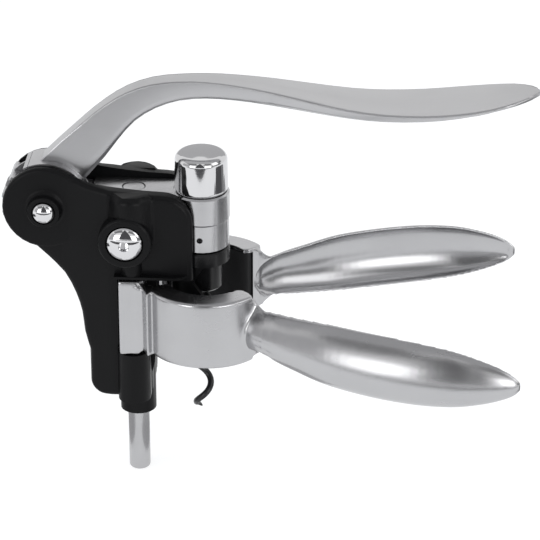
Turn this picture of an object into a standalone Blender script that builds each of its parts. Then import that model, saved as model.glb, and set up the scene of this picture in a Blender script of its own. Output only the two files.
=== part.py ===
"""Lever corkscrew with two gripping handles.

Frame: +Z up, the screw's axis is the Z axis, +X points to the handles and the lever's tip, and -Y is the
front. Z = 0 is the upper face of the jaws. The pose is the one at rest: lever down, screw down, handles open.
"""
import math

import bmesh
import bpy
from mathutils import Matrix, Vector

mm = 0.001

# Gaps between pieces
SEAT = 0.3 * mm            # between faces that touch on the real object
RUN = 0.4 * mm             # between faces that slide or turn past each other

# Lever, its hub and the toothed drive
HUB_X = -55.7 * mm
HUB_Z = 27.1 * mm
TEETH = 14
PITCH_RADIUS = 14.6 * mm
TOOTH_RISE = 1.6 * mm      # above the pitch line
TOOTH_ROOT = 1.95 * mm     # below the pitch line
BACKLASH = 0.4 * mm
PRESSURE_ANGLE = 20.0
LEVER_SWING = 178.0        # degrees from down to fully back
HUB_HALF_WIDTH = 7.2 * mm
WEB_HALF_WIDTH = 0.4 * mm  # thin web that joins the teeth in the middle
SOLID_FROM = 33.0          # degrees: the hub has no teeth under the arm
SOLID_TO = 112.0
LEVER_REACH = 175.9 * mm   # hub axis to tip
LEVER_RISE = 47.6 * mm     # hub axis to the top of the arch
ARM_HALF_WIDTH = 4.1 * mm
PADDLE_HALF_WIDTH = 13.6 * mm
HUB_PIN_RADIUS = 2.5 * mm
HUB_DOME_RADIUS = 4.0 * mm
HUB_DOME_HEIGHT = 2.4 * mm
HUB_BOSS_RADIUS = 5.9 * mm # round boss of the wall under the domed head
HUB_BOSS_FACE = 14.4 * mm
HUB_BOSS_RECESS = 0.7 * mm
HUB_BOSS_FILLET = 1.8 * mm
WASHER_RADIUS = 9.0 * mm
WASHER_THICK = 0.5 * mm

# Body
DISC_RADIUS = 15.6 * mm
DISC_FACE = 10.4 * mm      # outer face of the hub disc, from the middle plane
DISC_EDGE = 1.3 * mm
THIN_FACE = 9.9 * mm       # outer face of the wall beside the hub
WIDE_FACE = 13.0 * mm      # outer face of the wall beside the barrel
CHANNEL = 8.2 * mm         # inner face of the walls
WALL_TOP = 34.0 * mm
WALL_EDGE = 2.0 * mm       # soft outer edge of the walls
NOSE_X = -2.4 * mm         # right edge of the walls
NOSE_ROUND = 11.0 * mm
SKIRT_Z = 0.8 * mm         # lower edge of the walls over the jaws
FOOT_Z = -47.3 * mm
FOOT_ROUND = 5.5 * mm
FOOT_RIGHT = -18.5 * mm
SPINE_X = -40.8 * mm
SPINE_WALL = 3.9 * mm
BULGE_FACE = 18.5 * mm     # outer face of the bulge over the hinge pin
BULGE_EDGE = 1.6 * mm
BULGE_NECK = 3.9 * mm      # radius of the bulge under the round boss
LEDGE_FACE = 16.0 * mm     # outer edge of the ledge over the jaws
LEDGE_THICK = 0.95 * mm
LOWER_BOSS_RADIUS = 6.0 * mm
RING_BOSS_X = -26.3 * mm
RING_BOSS_Z = 17.8 * mm
RING_BOSS_RADIUS = 9.75 * mm
RING_BOSS_FACE = 19.0 * mm
DOME_RADIUS = 6.65 * mm
DOME_HEIGHT = 3.0 * mm
DOME_SHANK_RADIUS = 2.0 * mm
DOME_SHANK_END = 5.2 * mm
SOCKET_RADIUS = 1.9 * mm
SHELL_SCREW_RADIUS = 0.9 * mm
SHELL_SCREW_HEAD = 1.5 * mm
SHELL_SCREW_SEAT = 8.6 * mm
SHELL_SCREW_DEPTH = 6.0 * mm
SHELL_SCREW_HEIGHTS = (-25.5 * mm, -39.5 * mm)

# Guide rod and its sleeve
ROD_X = -24.5 * mm
ROD_RADIUS = 4.0 * mm
ROD_LOW = -83.6 * mm
CORE_HALF_WIDTH = 7.7 * mm
CORE_WAIST = 6.0 * mm
CORE_LEFT = -36.5 * mm
CORE_RIGHT = -16.5 * mm
CORE_TOP = 19.6 * mm
CORE_FOOT_RIGHT = -18.3 * mm
SLEEVE_RADIUS = 6.7 * mm
SLEEVE_LOW = -57.8 * mm
BUSH_RADIUS = 5.4 * mm
BUSH_LENGTH = 5.0 * mm

# Carriage, barrel and cap
ARM_TOP = 32.3 * mm
ARM_LOW = 20.3 * mm
CARRIAGE_HALF_WIDTH = 7.8 * mm
RACK_HALF_WIDTH = 6.8 * mm
RACK_BACK = 2.5 * mm
BARREL_RADIUS = 10.3 * mm
BARREL_TOP = 31.8 * mm
BARREL_LOW = 21.6 * mm
COLLAR_RADIUS = BARREL_RADIUS - 0.3 * mm
SPIGOT_RADIUS = COLLAR_RADIUS - 2.8 * mm
COLLAR_LOW = 10.4 * mm
COLLAR_FLOOR = 1.4 * mm
COLLAR_HOLE_Z = 15.7 * mm
COLLAR_HOLE_RADIUS = 1.15 * mm
CAP_RADIUS = BARREL_RADIUS - 0.5 * mm
CAP_TOP_RADIUS = CAP_RADIUS - 0.2 * mm
CAP_TOP = 47.0 * mm
CAP_ROUND = 2.8 * mm
CAP_WALL = 1.4 * mm
SPINDLE_RADIUS = 2.5 * mm
SPINDLE_TOP = 38.6 * mm
WORM_FLANGE_RADIUS = 4.5 * mm
WORM_BORE = 5.0 * mm
SHOULDER_Z = 24.0 * mm
PLATE_THICK = 0.8 * mm     # thickness of the washers and rings on the spindle

# Worm
WIRE_RADIUS = 1.2 * mm
COIL_RADIUS = 2.7 * mm     # axis to the middle of the wire
WORM_PITCH = 16.5 * mm
WORM_TIP = -58.0 * mm
WORM_PHASE = 312.0         # degrees, turns the coil to the photographed place
TIP_TAPER = 3.4 * mm
TIP_FLAT = 2.4 * mm

# Nut, its carrier and the stop for the bottle's rim
CARRIER_TOP = 10.0 * mm
CARRIER_RADIUS = BARREL_RADIUS - 0.1 * mm
FLANGE_THICK = 5.2 * mm
NECK_RADIUS = 7.4 * mm
NECK_LOW = -6.4 * mm
NUT_RADIUS = 6.1 * mm      # to the corners of its six sides
NUT_THICK = 2.9 * mm
NUT_FLOOR = 1.0 * mm
RETAINER_RADIUS = 7.3 * mm
RETAINER_THICK = 0.6 * mm
STOP_RIM_Z = -9.5 * mm
STOP_RADIUS = 11.4 * mm
STOP_BORE = 8.8 * mm
STOP_MOUTH = (-2.6 * mm, -0.9 * mm)  # inner corner of the stop's open side, as X and Z
STOP_MOUTH_SLOPE = 0.7     # how fast the open side widens to the right, above and below the corner
STOP_PLATE_RADIUS = 9.6 * mm

# Handles
HINGE_Y = 12.0 * mm
HINGE_PIN_RADIUS = 2.0 * mm
HINGE_PIN_TOP = 8.5 * mm
HINGE_PIN_LOW = -39.0 * mm
GRIP_OPEN = 16.67          # degrees each handle stands open from the concentric grip
KNUCKLE_TOP = 1.9 * mm
KNUCKLE_LOW = -27.6 * mm
KNUCKLE_RADIUS = 5.1 * mm
KNUCKLE_FACE = 5.3 * mm    # hinge axis to the flat outer face
JAW_TOP = 0.0 * mm
JAW_LOW = -25.8 * mm
JAW_OUTER = 22.8 * mm
JAW_SEAT = 18.2 * mm       # inner face of the metal behind the pad
JAW_LIP = 14.7 * mm
JAW_LIP_THICK = 1.5 * mm
PAD_INNER = 14.3 * mm
JAW_TO = 142.0             # degrees round the screw axis to the jaw's hinge end
HANDLE_REACH = 146.7 * mm  # hinge axis to the handle's tip
HANDLE_HALF_HEIGHT = 12.3 * mm
HANDLE_DEPTH = 8.8 * mm
HANDLE_WALL = 1.9 * mm
HANDLE_RIM = 1.0 * mm
HOLLOW_START = 0.292       # share of the reach where the handle's hollow begins
HOLLOW_ROUND = 0.055       # share of the reach over which its round end opens

# Shape tables: each row is a place along the part and its shares of the driving sizes there
# share of reach, share of rise of the upper edge, lower edge: the same two, half width share, boxiness
LEVER_ROWS = (
    (-0.0280, 0.246, 0.0420, -0.032, 0.319, 5.0),
    (-0.0074, 0.354, 0.0636, 0.106, 0.312, 5.0),
    (0.0750, 0.649, 0.1205, 0.359, 0.305, 5.0),
    (0.1222, 0.798, 0.1489, 0.505, 0.297, 5.0),
    (0.1676, 0.907, 0.1841, 0.659, 0.291, 4.5),
    (0.2188, 0.977, 0.2273, 0.766, 0.285, 4.0),
    (0.2727, 1.005, 0.2767, 0.831, 0.295, 3.6),
    (0.3300, 1.011, 0.3300, 0.853, 0.342, 3.4),
    (0.3920, 0.996, 0.3898, 0.847, 0.417, 3.2),
    (0.4602, 0.965, 0.4574, 0.825, 0.524, 3.0),
    (0.5455, 0.912, 0.5432, 0.786, 0.678, 2.8),
    (0.6200, 0.869, 0.6190, 0.754, 0.808, 2.6),
    (0.6900, 0.850, 0.6900, 0.742, 0.913, 2.5),
    (0.7700, 0.855, 0.7700, 0.763, 0.988, 2.5),
    (0.8380, 0.879, 0.8390, 0.805, 1.002, 2.5),
    (0.9000, 0.911, 0.9010, 0.856, 0.912, 2.5),
    (0.9500, 0.945, 0.9520, 0.893, 0.696, 2.5),
    (0.9840, 0.966, 0.9850, 0.916, 0.374, 2.5),
    (1.0000, 0.973, 1.0000, 0.928, 0.047, 2.5),
)
# share of reach from the hinge, inner face as a share of the depth, depth share, half height share, middle as
# a share of the half height, roundness (1 is a half ellipse, less is boxier)
HANDLE_ROWS = (
    (0.2550, -0.7500, 0.966, 1.022, -1.0285, 0.55),
    (0.2900, -0.7045, 0.966, 0.985, -1.0366, 0.55),
    (0.3150, -0.6136, 0.920, 0.890, -1.0813, 0.60),
    (0.3300, -0.5568, 0.920, 0.745, -1.0854, 0.70),
    (0.3480, -0.4545, 0.909, 0.652, -1.0772, 0.82),
    (0.3650, -0.3523, 0.909, 0.685, -1.0894, 0.90),
    (0.3850, -0.2500, 0.920, 0.745, -1.1098, 0.97),
    (0.4350, -0.0227, 0.930, 0.825, -1.1382, 1.00),
    (0.5250, 0.3114, 0.977, 0.951, -1.1667, 1.00),
    (0.6400, 0.5045, 1.006, 0.988, -1.1959, 1.00),
    (0.7470, 0.5386, 0.971, 0.969, -1.2171, 1.00),
    (0.8400, 0.4500, 0.860, 0.872, -1.2390, 1.00),
    (0.9080, 0.3193, 0.660, 0.691, -1.2593, 1.00),
    (0.9560, 0.2000, 0.460, 0.493, -1.2715, 1.00),
    (0.9850, 0.1205, 0.270, 0.303, -1.2911, 1.00),
    (1.0000, 0.0795, 0.090, 0.114, -1.2967, 1.00),
)
# outline of the jaw's handle end in plan: share of the outer radius, degrees round the screw's axis
JAW_END = ((0.645, 33.9), (0.632, 27.3), (0.656, 21.6), (0.728, 17.9), (0.832, 18.4), (0.967, 21.6),
           (1.177, 26.6), (1.6, 31.4))
# the same for the pad, as shares of its inner radius
PAD_END = ((0.985, 44.0), (1.012, 31.0), (1.055, 22.5), (1.13, 19.2), (1.28, 20.0), (2.2, 24.0))
# plan of the bulge over the hinge pin, as places from the pin along X and shares of the way out to its face
BULGE_PLAN = ((-9.0, -0.35), (-7.8, -0.05), (-6.4, 0.28), (-5.0, 0.62), (-3.2, 0.88), (0.0, 1.0),
              (3.2, 0.88),
              (5.2, 0.62), (7.2, 0.28), (9.2, -0.05), (10.2, -0.35), (6.5, -0.36), (3.2, -0.36),
              (0.0, -0.36),
              (-3.2, -0.36), (-6.5, -0.36))

# Derived places
PITCH = 2.0 * math.pi * PITCH_RADIUS / TEETH
LIFT = PITCH_RADIUS * math.radians(LEVER_SWING)
RACK_LINE = HUB_X + PITCH_RADIUS
RACK_ROOT = RACK_LINE + TOOTH_ROOT
RACK_REAR = RACK_ROOT + RACK_BACK
RACK_LOW = HUB_Z - LIFT - 0.55 * PITCH
GEAR_RADIUS = PITCH_RADIUS + TOOTH_RISE
CARRIER_LOW = CARRIER_TOP - FLANGE_THICK
NUT_LOW = CARRIER_LOW + NUT_FLOOR
STOP_PLATE_TOP = CARRIER_LOW - SEAT
WINDOW_X = ROD_X - KNUCKLE_RADIUS - SEAT
DOME_SEAT = RING_BOSS_FACE - 1.0 * mm + SEAT
HUB_HEAD = HUB_BOSS_FACE - HUB_BOSS_RECESS + SEAT


def collection(name):
    home = bpy.data.collections.new(name)
    bpy.context.scene.collection.children.link(home)
    return home


def material(name, colour, metallic, roughness):
    mat = bpy.data.materials.new(name)
    mat.use_nodes = True
    shader = mat.node_tree.nodes["Principled BSDF"]
    shader.inputs["Base Color"].default_value = (*colour, 1.0)
    shader.inputs["Metallic"].default_value = metallic
    shader.inputs["Roughness"].default_value = roughness
    return mat


for old in list(bpy.data.objects):
    bpy.data.objects.remove(old, do_unlink=True)

PARTS = collection("rabbit_corkscrew")
TOOLS = collection("construction")

NYLON = material("black_nylon", (0.02, 0.02, 0.022), 0.0, 0.45)
ZINC = material("satin_zinc", (0.55, 0.55, 0.55), 1.0, 0.38)
STEEL = material("bright_steel", (0.62, 0.62, 0.62), 1.0, 0.25)
CHROME = material("mirror_chrome", (0.8, 0.8, 0.8), 1.0, 0.06)
COATED = material("black_coating", (0.015, 0.015, 0.015), 0.2, 0.35)
RUBBER = material("black_rubber", (0.018, 0.018, 0.018), 0.0, 0.7)
BRASS = material("nut_brass", (0.6, 0.45, 0.2), 1.0, 0.35)


def add(name, data, home=None):
    """Link data as an object. Without a name it is a construction shape."""
    obj = bpy.data.objects.new(name or "shape", data)
    (home or (PARTS if name else TOOLS)).objects.link(obj)
    if not name:
        obj.hide_render = True
        obj.display_type = 'WIRE'
    return obj


def finish(obj, mat, origin=None):
    """Shade smooth with sharp edges, give the material, and put the origin on the joint axis."""
    obj.data.materials.append(mat)
    obj.data.shade_smooth()
    obj.data.set_sharp_from_angle(angle=math.radians(35))
    if origin is not None:
        obj.data.transform(Matrix.Translation(-Vector(origin)))
        obj.location = origin
    return obj


def from_bmesh(name, bm):
    mesh = bpy.data.meshes.new(name or "shape")
    bmesh.ops.recalc_face_normals(bm, faces=bm.faces)
    bm.to_mesh(mesh)
    bm.free()
    return add(name, mesh)


TURN_TO = {
    'X': Matrix.Rotation(math.radians(90), 4, 'Y'),
    'Y': Matrix.Rotation(math.radians(-90), 4, 'X'),
    'Z': Matrix.Identity(4),
}


def along(axis, at, low):
    """Matrix that takes the local Z axis to the named axis, through at, with Z = 0 moved to low."""
    place = {'X': (low, at[0], at[1]), 'Y': (at[0], low, at[1]), 'Z': (at[0], at[1], low)}[axis]
    return Matrix.Translation(place) @ TURN_TO[axis]


def cylinder(name, radius, low, high, at=(0.0, 0.0), axis='Z', sides=24):
    low, high = min(low, high), max(low, high)
    bm = bmesh.new()
    bmesh.ops.create_cone(bm, cap_ends=True, segments=sides, radius1=radius, radius2=radius,
                          depth=high - low)
    bmesh.ops.transform(bm, matrix=along(axis, at, (low + high) / 2), verts=bm.verts)
    return from_bmesh(name, bm)


def box(name, xs, ys, zs):
    bm = bmesh.new()
    bmesh.ops.create_cube(bm, size=1.0)
    size = [max(pair) - min(pair) for pair in (xs, ys, zs)]
    middle = [(pair[0] + pair[1]) / 2 for pair in (xs, ys, zs)]
    place = Matrix.Translation(middle) @ Matrix.Diagonal((*size, 1.0))
    bmesh.ops.transform(bm, matrix=place, verts=bm.verts)
    return from_bmesh(name, bm)


def turned(name, profile, at=(0.0, 0.0), axis='Z', flip=False, steps=24, closed=False):
    """Revolve a profile of (radius, height) points, outer side from top to bottom."""
    mesh = bpy.data.meshes.new(name or "shape")
    count = len(profile)
    edges = [(i, i + 1) for i in range(count - 1)] + ([(count - 1, 0)] if closed else [])
    mesh.from_pydata([(r, 0.0, z) for r, z in profile], edges, [])
    obj = add(name, mesh)
    screw = obj.modifiers.new("turn", 'SCREW')
    screw.steps = steps
    screw.render_steps = steps
    screw.use_merge_vertices = True
    screw.merge_threshold = 0.00001
    obj.matrix_world = along(axis, at, 0.0)
    if flip:
        obj.matrix_world = along(axis, at, 0.0) @ Matrix.Rotation(math.pi, 4, 'X')
    return obj


def to_mesh(curve_object):
    """A curve as a closed mesh, with its caps welded."""
    bpy.context.view_layer.update()
    ready = curve_object.evaluated_get(bpy.context.evaluated_depsgraph_get())
    mesh = bpy.data.meshes.new_from_object(ready)
    bm = bmesh.new()
    bm.from_mesh(mesh)
    bmesh.ops.remove_doubles(bm, verts=bm.verts, dist=0.000002)
    bmesh.ops.recalc_face_normals(bm, faces=bm.faces)
    bm.to_mesh(mesh)
    bm.free()
    return mesh


def extruded(name, outline, low, high, axis='Y'):
    """A flat outline with thickness. The outline is in (X, Z) for axis Y and in (X, Y) for axis Z."""
    curve = bpy.data.curves.new("outline", 'CURVE')
    curve.dimensions = '2D'
    curve.fill_mode = 'BOTH'
    curve.extrude = abs(high - low) / 2
    spline = curve.splines.new('POLY')
    spline.points.add(len(outline) - 1)
    for point, (u, v) in zip(spline.points, outline):
        point.co = (u, v, 0.0, 1.0)
    spline.use_cyclic_u = True
    flat = bpy.data.objects.new("outline", curve)
    TOOLS.objects.link(flat)
    mesh = to_mesh(flat)
    bpy.data.objects.remove(flat, do_unlink=True)
    turn = Matrix.Rotation(math.radians(90), 4, 'X') if axis == 'Y' else Matrix.Identity(4)
    shift = (0.0, (low + high) / 2, 0.0) if axis == 'Y' else (0.0, 0.0, (low + high) / 2)
    mesh.transform(Matrix.Translation(shift) @ turn)
    return add(name, mesh)


def tube(name, points, radius, radii=None, resolution=2):
    """A round wire along the points, with filled ends."""
    curve = bpy.data.curves.new("wire", 'CURVE')
    curve.dimensions = '3D'
    curve.bevel_depth = radius
    curve.bevel_resolution = resolution
    curve.use_fill_caps = True
    spline = curve.splines.new('POLY')
    spline.points.add(len(points) - 1)
    for i, place in enumerate(points):
        spline.points[i].co = (*place, 1.0)
        spline.points[i].radius = radii[i] if radii else 1.0
    wire = bpy.data.objects.new("wire", curve)
    TOOLS.objects.link(wire)
    mesh = to_mesh(wire)
    bpy.data.objects.remove(wire, do_unlink=True)
    return add(name, mesh)


def loft(name, rings):
    """A closed skin over rings of points."""
    bm = bmesh.new()
    loops = [[bm.verts.new(point) for point in ring] for ring in rings]
    for first, second in zip(loops, loops[1:]):
        for i in range(len(first)):
            j = (i + 1) % len(first)
            bm.faces.new((first[i], first[j], second[j], second[i]))
    bm.faces.new(loops[0])
    bm.faces.new(loops[-1])
    return from_bmesh(name, bm)


def soften(piece, chosen, width):
    """Round the chosen edges of a piece, after joining its flat caps to single faces."""
    bm = bmesh.new()
    bm.from_mesh(piece.data)
    bmesh.ops.dissolve_limit(bm, angle_limit=0.001, verts=bm.verts, edges=bm.edges)
    bm.normal_update()
    edges = [edge for edge in bm.edges if chosen(edge)]
    bmesh.ops.bevel(bm, geom=edges, offset=width, segments=2, profile=0.5, affect='EDGES', material=-1)
    bm.to_mesh(piece.data)
    bm.free()
    return piece


def boolean(obj, others, operation):
    for other in others:
        step = obj.modifiers.new(operation.lower(), 'BOOLEAN')
        step.operation = operation
        step.solver = 'EXACT'
        step.object = other
    return obj


def join(obj, *others):
    return boolean(obj, others, 'UNION')


def cut(obj, *others):
    return boolean(obj, others, 'DIFFERENCE')


def arc(x, z, radius, start, end, count):
    """Points on an arc, with angles in degrees."""
    turn = [math.radians(start + (end - start) * i / count) for i in range(count + 1)]
    return [(x + radius * math.cos(t), z + radius * math.sin(t)) for t in turn]


def through(rows, share):
    """Smooth value between the rows, for a share of the way from the first row to the last."""
    spans = len(rows) - 1
    place = min(max(share, 0.0), 1.0) * spans
    i = min(int(place), spans - 1)
    t = place - i
    a, b = rows[max(i - 1, 0)], rows[i]
    c, d = rows[i + 1], rows[min(i + 2, spans)]
    return [0.5 * (2 * q + (r - p) * t + (2 * p - 5 * q + 4 * r - s) * t ** 2
                   + (3 * q - p - 3 * r + s) * t ** 3)
            for p, q, r, s in zip(a, b, c, d)]


def smooth_rows(rows, per_span):
    count = (len(rows) - 1) * per_span
    return [through(rows, i / count) for i in range(count + 1)]


# Gear and rack teeth

def gear_outline():
    """Involute teeth round the hub, with a gap centred on the rack side."""
    base = PITCH_RADIUS * math.cos(math.radians(PRESSURE_ANGLE))
    root = PITCH_RADIUS - TOOTH_ROOT

    def roll(radius):
        if radius <= base:
            return 0.0
        angle = math.acos(base / radius)
        return math.tan(angle) - angle

    half_at_pitch = (PITCH / 2 - BACKLASH / 2) / 2 / PITCH_RADIUS
    flank = [root, base, GEAR_RADIUS]
    points = []
    for tooth in range(TEETH):
        middle = 2 * math.pi * (tooth + 0.5) / TEETH
        half = [half_at_pitch + roll(PITCH_RADIUS) - roll(r) for r in flank]
        side = [(r, middle - h) for r, h in zip(flank, half)]
        back = [(r, middle + h) for r, h in zip(reversed(flank), reversed(half))]
        points += [(HUB_X + r * math.cos(t), HUB_Z + r * math.sin(t)) for r, t in side + back]
    return points


def rack_outline():
    """Straight-sided teeth down the left edge of the rack, in step with the gear."""
    slope = math.tan(math.radians(PRESSURE_ANGLE))
    half = (PITCH / 2 - BACKLASH / 2) / 2
    tip = half - TOOTH_RISE * slope
    root = half + TOOTH_ROOT * slope
    points = [(RACK_REAR, ARM_TOP), (RACK_ROOT, ARM_TOP)]
    middle = HUB_Z
    while middle + root > ARM_TOP - 0.2 * mm:
        middle -= PITCH
    while middle - root > RACK_LOW:
        points += [(RACK_ROOT, middle + root), (RACK_LINE - TOOTH_RISE, middle + tip),
                   (RACK_LINE - TOOTH_RISE, middle - tip), (RACK_ROOT, middle - root)]
        middle -= PITCH
    return points + [(RACK_ROOT, RACK_LOW), (RACK_REAR, RACK_LOW)]


# Body

def shell_outline():
    """Side view of a body wall: nose, hub disc, swept back, foot and the window of the hinge."""
    crest = [(-20.0 * mm, WALL_TOP + 0.3 * mm), (-27.5 * mm, WALL_TOP + 1.0 * mm),
             (-32.5 * mm, WALL_TOP + 1.6 * mm),
             (-37.0 * mm, WALL_TOP + 2.3 * mm), (-40.5 * mm, WALL_TOP + 3.2 * mm)]
    reach = math.hypot(crest[-1][0] - HUB_X, crest[-1][1] - HUB_Z)
    facing = math.atan2(crest[-1][1] - HUB_Z, crest[-1][0] - HUB_X)
    leave = math.degrees(facing + math.acos(DISC_RADIUS / reach))
    back = [(-55.4 * mm, 7.7 * mm), (-49.4 * mm, 1.0 * mm), (-45.6 * mm, -6.5 * mm),
            (RACK_LINE - 2.3 * mm, -14.0 * mm), (RACK_LINE - 1.5 * mm, RACK_LOW), (SPINE_X, -29.0 * mm)]
    nose = arc(NOSE_X - NOSE_ROUND, WALL_TOP - NOSE_ROUND, NOSE_ROUND, 0, 90, 7)
    foot = arc(SPINE_X + FOOT_ROUND, FOOT_Z + FOOT_ROUND, FOOT_ROUND, 180, 270, 6)
    sill = KNUCKLE_LOW + 1.0 * mm
    window = [(FOOT_RIGHT, FOOT_Z), (FOOT_RIGHT, sill), (WINDOW_X + 1.0 * mm, sill),
              (WINDOW_X + 1.0 * mm, SKIRT_Z), (NOSE_X, SKIRT_Z)]
    disc = arc(HUB_X, HUB_Z, DISC_RADIUS - 0.3 * mm, leave, 252, 16)
    return nose + crest + disc + smooth_rows(back, 2) + foot + window


def wall(name, side):
    """Side wall with soft outer edges. It leans in towards the hub, where it is thinner."""
    def outer_rim(edge):
        if min(abs(vert.co.y) for vert in edge.verts) < WIDE_FACE - 0.01 * mm:
            return False
        middle = (edge.verts[0].co + edge.verts[1].co) / 2
        beside_window = middle.x > WINDOW_X + 0.5 * mm and FOOT_Z + 0.1 * mm < middle.z < SKIRT_Z + 0.1 * mm
        return not beside_window and min(abs(face.normal.y) for face in edge.link_faces) < 0.5

    piece = soften(extruded(name, shell_outline(), side * SEAT / 2, side * WIDE_FACE), outer_rim, WALL_EDGE)
    bm = bmesh.new()
    bm.from_mesh(piece.data)
    start, end = HUB_X + 6.0 * mm, ROD_X - 8.5 * mm
    for x in (start, end):
        bmesh.ops.bisect_plane(bm, geom=bm.verts[:] + bm.edges[:] + bm.faces[:], dist=0.00001 * mm,
                               plane_co=(x, 0.0, 0.0), plane_no=(1.0, 0.0, 0.0))
    for vert in bm.verts:
        if abs(vert.co.y) > CHANNEL / 2:
            share = min(max((vert.co.x - start) / (end - start), 0.0), 1.0)
            face = THIN_FACE + (WIDE_FACE - THIN_FACE) * share
            vert.co.y = side * (face - 0.8 * (WIDE_FACE - abs(vert.co.y)))
    bm.to_mesh(piece.data)
    bm.free()
    return piece


def bulge(side):
    """Rounded bulge of the wall over the hinge pin, its top sloping outwards."""
    top = WALL_TOP + 2.7 * mm
    low = RING_BOSS_Z - 2.0 * mm
    fall = 2.4 * mm / (7.0 * mm) ** 2
    plan = [(ROD_X + x * mm, side * (WIDE_FACE + share * (BULGE_FACE - WIDE_FACE))) for x,
            share in BULGE_PLAN]

    def top_rim(edge):
        if min(vert.co.z for vert in edge.verts) < top - 0.01 * mm:
            return False
        return max(abs(vert.co.y) for vert in edge.verts) > WIDE_FACE

    piece = soften(extruded(None, plan, low, top, 'Z'), top_rim, BULGE_EDGE)
    for vert in piece.data.vertices:
        if vert.co.z > low + 1.0 * mm:
            vert.co.z -= 0.5 * max(abs(vert.co.y) - WIDE_FACE, 0.0) + fall * (vert.co.x - ROD_X) ** 2
    return piece


def shell(name, side):
    """One half of the body. side is -1 for the front half and 1 for the rear one."""
    far = 70.0 * mm
    piece = wall(name, side)
    pin = (ROD_X, side * HINGE_Y)
    hub = (HUB_X, HUB_Z)
    ring_at = (RING_BOSS_X, RING_BOSS_Z)
    neck = cylinder(None, BULGE_NECK, KNUCKLE_TOP - 1.0 * mm, RING_BOSS_Z, pin)
    ledge_low = KNUCKLE_TOP + 1.5 * SEAT
    ledge_plan = [(WINDOW_X - 0.9 * mm, HINGE_Y), (WINDOW_X - 0.9 * mm, LEDGE_FACE),
                  (NOSE_X - 6.0 * mm, LEDGE_FACE),
                  (NOSE_X - 3.6 * mm, LEDGE_FACE - 0.9 * mm), (NOSE_X - 1.6 * mm, WIDE_FACE - 0.4 * mm),
                  (NOSE_X - 1.6 * mm, HINGE_Y)]
    ledge = extruded(None, [(x, side * y) for x, y in ledge_plan], ledge_low, ledge_low + LEDGE_THICK, 'Z')
    boss = cylinder(None, LOWER_BOSS_RADIUS, FOOT_Z - 0.3 * mm, KNUCKLE_LOW + 1.5 * mm, pin)
    fillet = HUB_BOSS_FILLET
    disc = turned(None, [(0.0, HUB_BOSS_FACE), (HUB_BOSS_RADIUS - 0.4 * mm, HUB_BOSS_FACE),
                         (HUB_BOSS_RADIUS, HUB_BOSS_FACE - 0.4 * mm), (HUB_BOSS_RADIUS, DISC_FACE + fillet),
                         (HUB_BOSS_RADIUS + 0.3 * fillet, DISC_FACE + 0.3 * fillet),
                         (HUB_BOSS_RADIUS + fillet, DISC_FACE), (DISC_RADIUS - DISC_EDGE, DISC_FACE),
                         (DISC_RADIUS - 0.3 * DISC_EDGE, DISC_FACE - 0.3 * DISC_EDGE),
                         (DISC_RADIUS, DISC_FACE - DISC_EDGE), (DISC_RADIUS, CHANNEL / 2),
                         (0.0, CHANNEL / 2)],
                  hub, 'Y', side < 0, 32)
    face = RING_BOSS_FACE
    ring_boss = turned(None, [(0.0, face), (RING_BOSS_RADIUS - 1.0 * mm, face),
                              (RING_BOSS_RADIUS - 0.3 * mm, face - 0.3 * mm),
                              (RING_BOSS_RADIUS, face - 1.0 * mm), (RING_BOSS_RADIUS, CHANNEL),
                              (0.0, CHANNEL)],
                       ring_at, 'Y', side < 0, 28)
    inside = [(HUB_X - far, far), (far, far), (far, -far), (SPINE_X + SPINE_WALL, -far),
              (SPINE_X + SPINE_WALL, RACK_LOW - RUN), (HUB_X - far, RACK_LOW - RUN)]
    channel = extruded(None, inside, 0.0, side * CHANNEL)
    knuckle_room = box(None, (WINDOW_X, ROD_X + 9.5 * mm), (side * CHANNEL / 2, side * far),
                       (KNUCKLE_LOW - SEAT, KNUCKLE_TOP + SEAT))
    holes = [
        cylinder(None, BARREL_RADIUS + RUN, SKIRT_Z - far, far, (0.0, 0.0), 'Z', 36),
        cylinder(None, HINGE_PIN_RADIUS + SEAT / 2, HINGE_PIN_LOW - SEAT, HINGE_PIN_TOP + SEAT, pin, 'Z',
                 12),
        cylinder(None, HUB_DOME_RADIUS + 1.5 * SEAT, side * (HUB_BOSS_FACE - HUB_BOSS_RECESS), side * far,
                 hub, 'Y', 20),
        cylinder(None, HUB_PIN_RADIUS + SEAT / 2, 0.0, side * (far - 1.0 * mm), hub, 'Y', 14),
        cylinder(None, DOME_SHANK_RADIUS + SEAT / 2, 0.0, side * far, ring_at, 'Y', 12),
        cylinder(None, DOME_RADIUS + SEAT, side * (DOME_SEAT - SEAT), side * far, ring_at, 'Y', 24),
    ]
    for height in SHELL_SCREW_HEIGHTS:
        at = (SPINE_X + SPINE_WALL / 2, height)
        deep = far if side > 0 else SHELL_SCREW_DEPTH + SEAT
        holes.append(cylinder(None, SHELL_SCREW_RADIUS + SEAT / 2, 0.0, side * deep, at, 'Y', 10))
        if side > 0:
            holes.append(cylinder(None, SHELL_SCREW_HEAD + SEAT / 2, SHELL_SCREW_SEAT, far, at, 'Y', 12))
    join(piece, bulge(side), neck, ledge, boss, disc, ring_boss)
    cut(piece, channel, knuckle_room, *holes)
    return finish(piece, NYLON)


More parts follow.
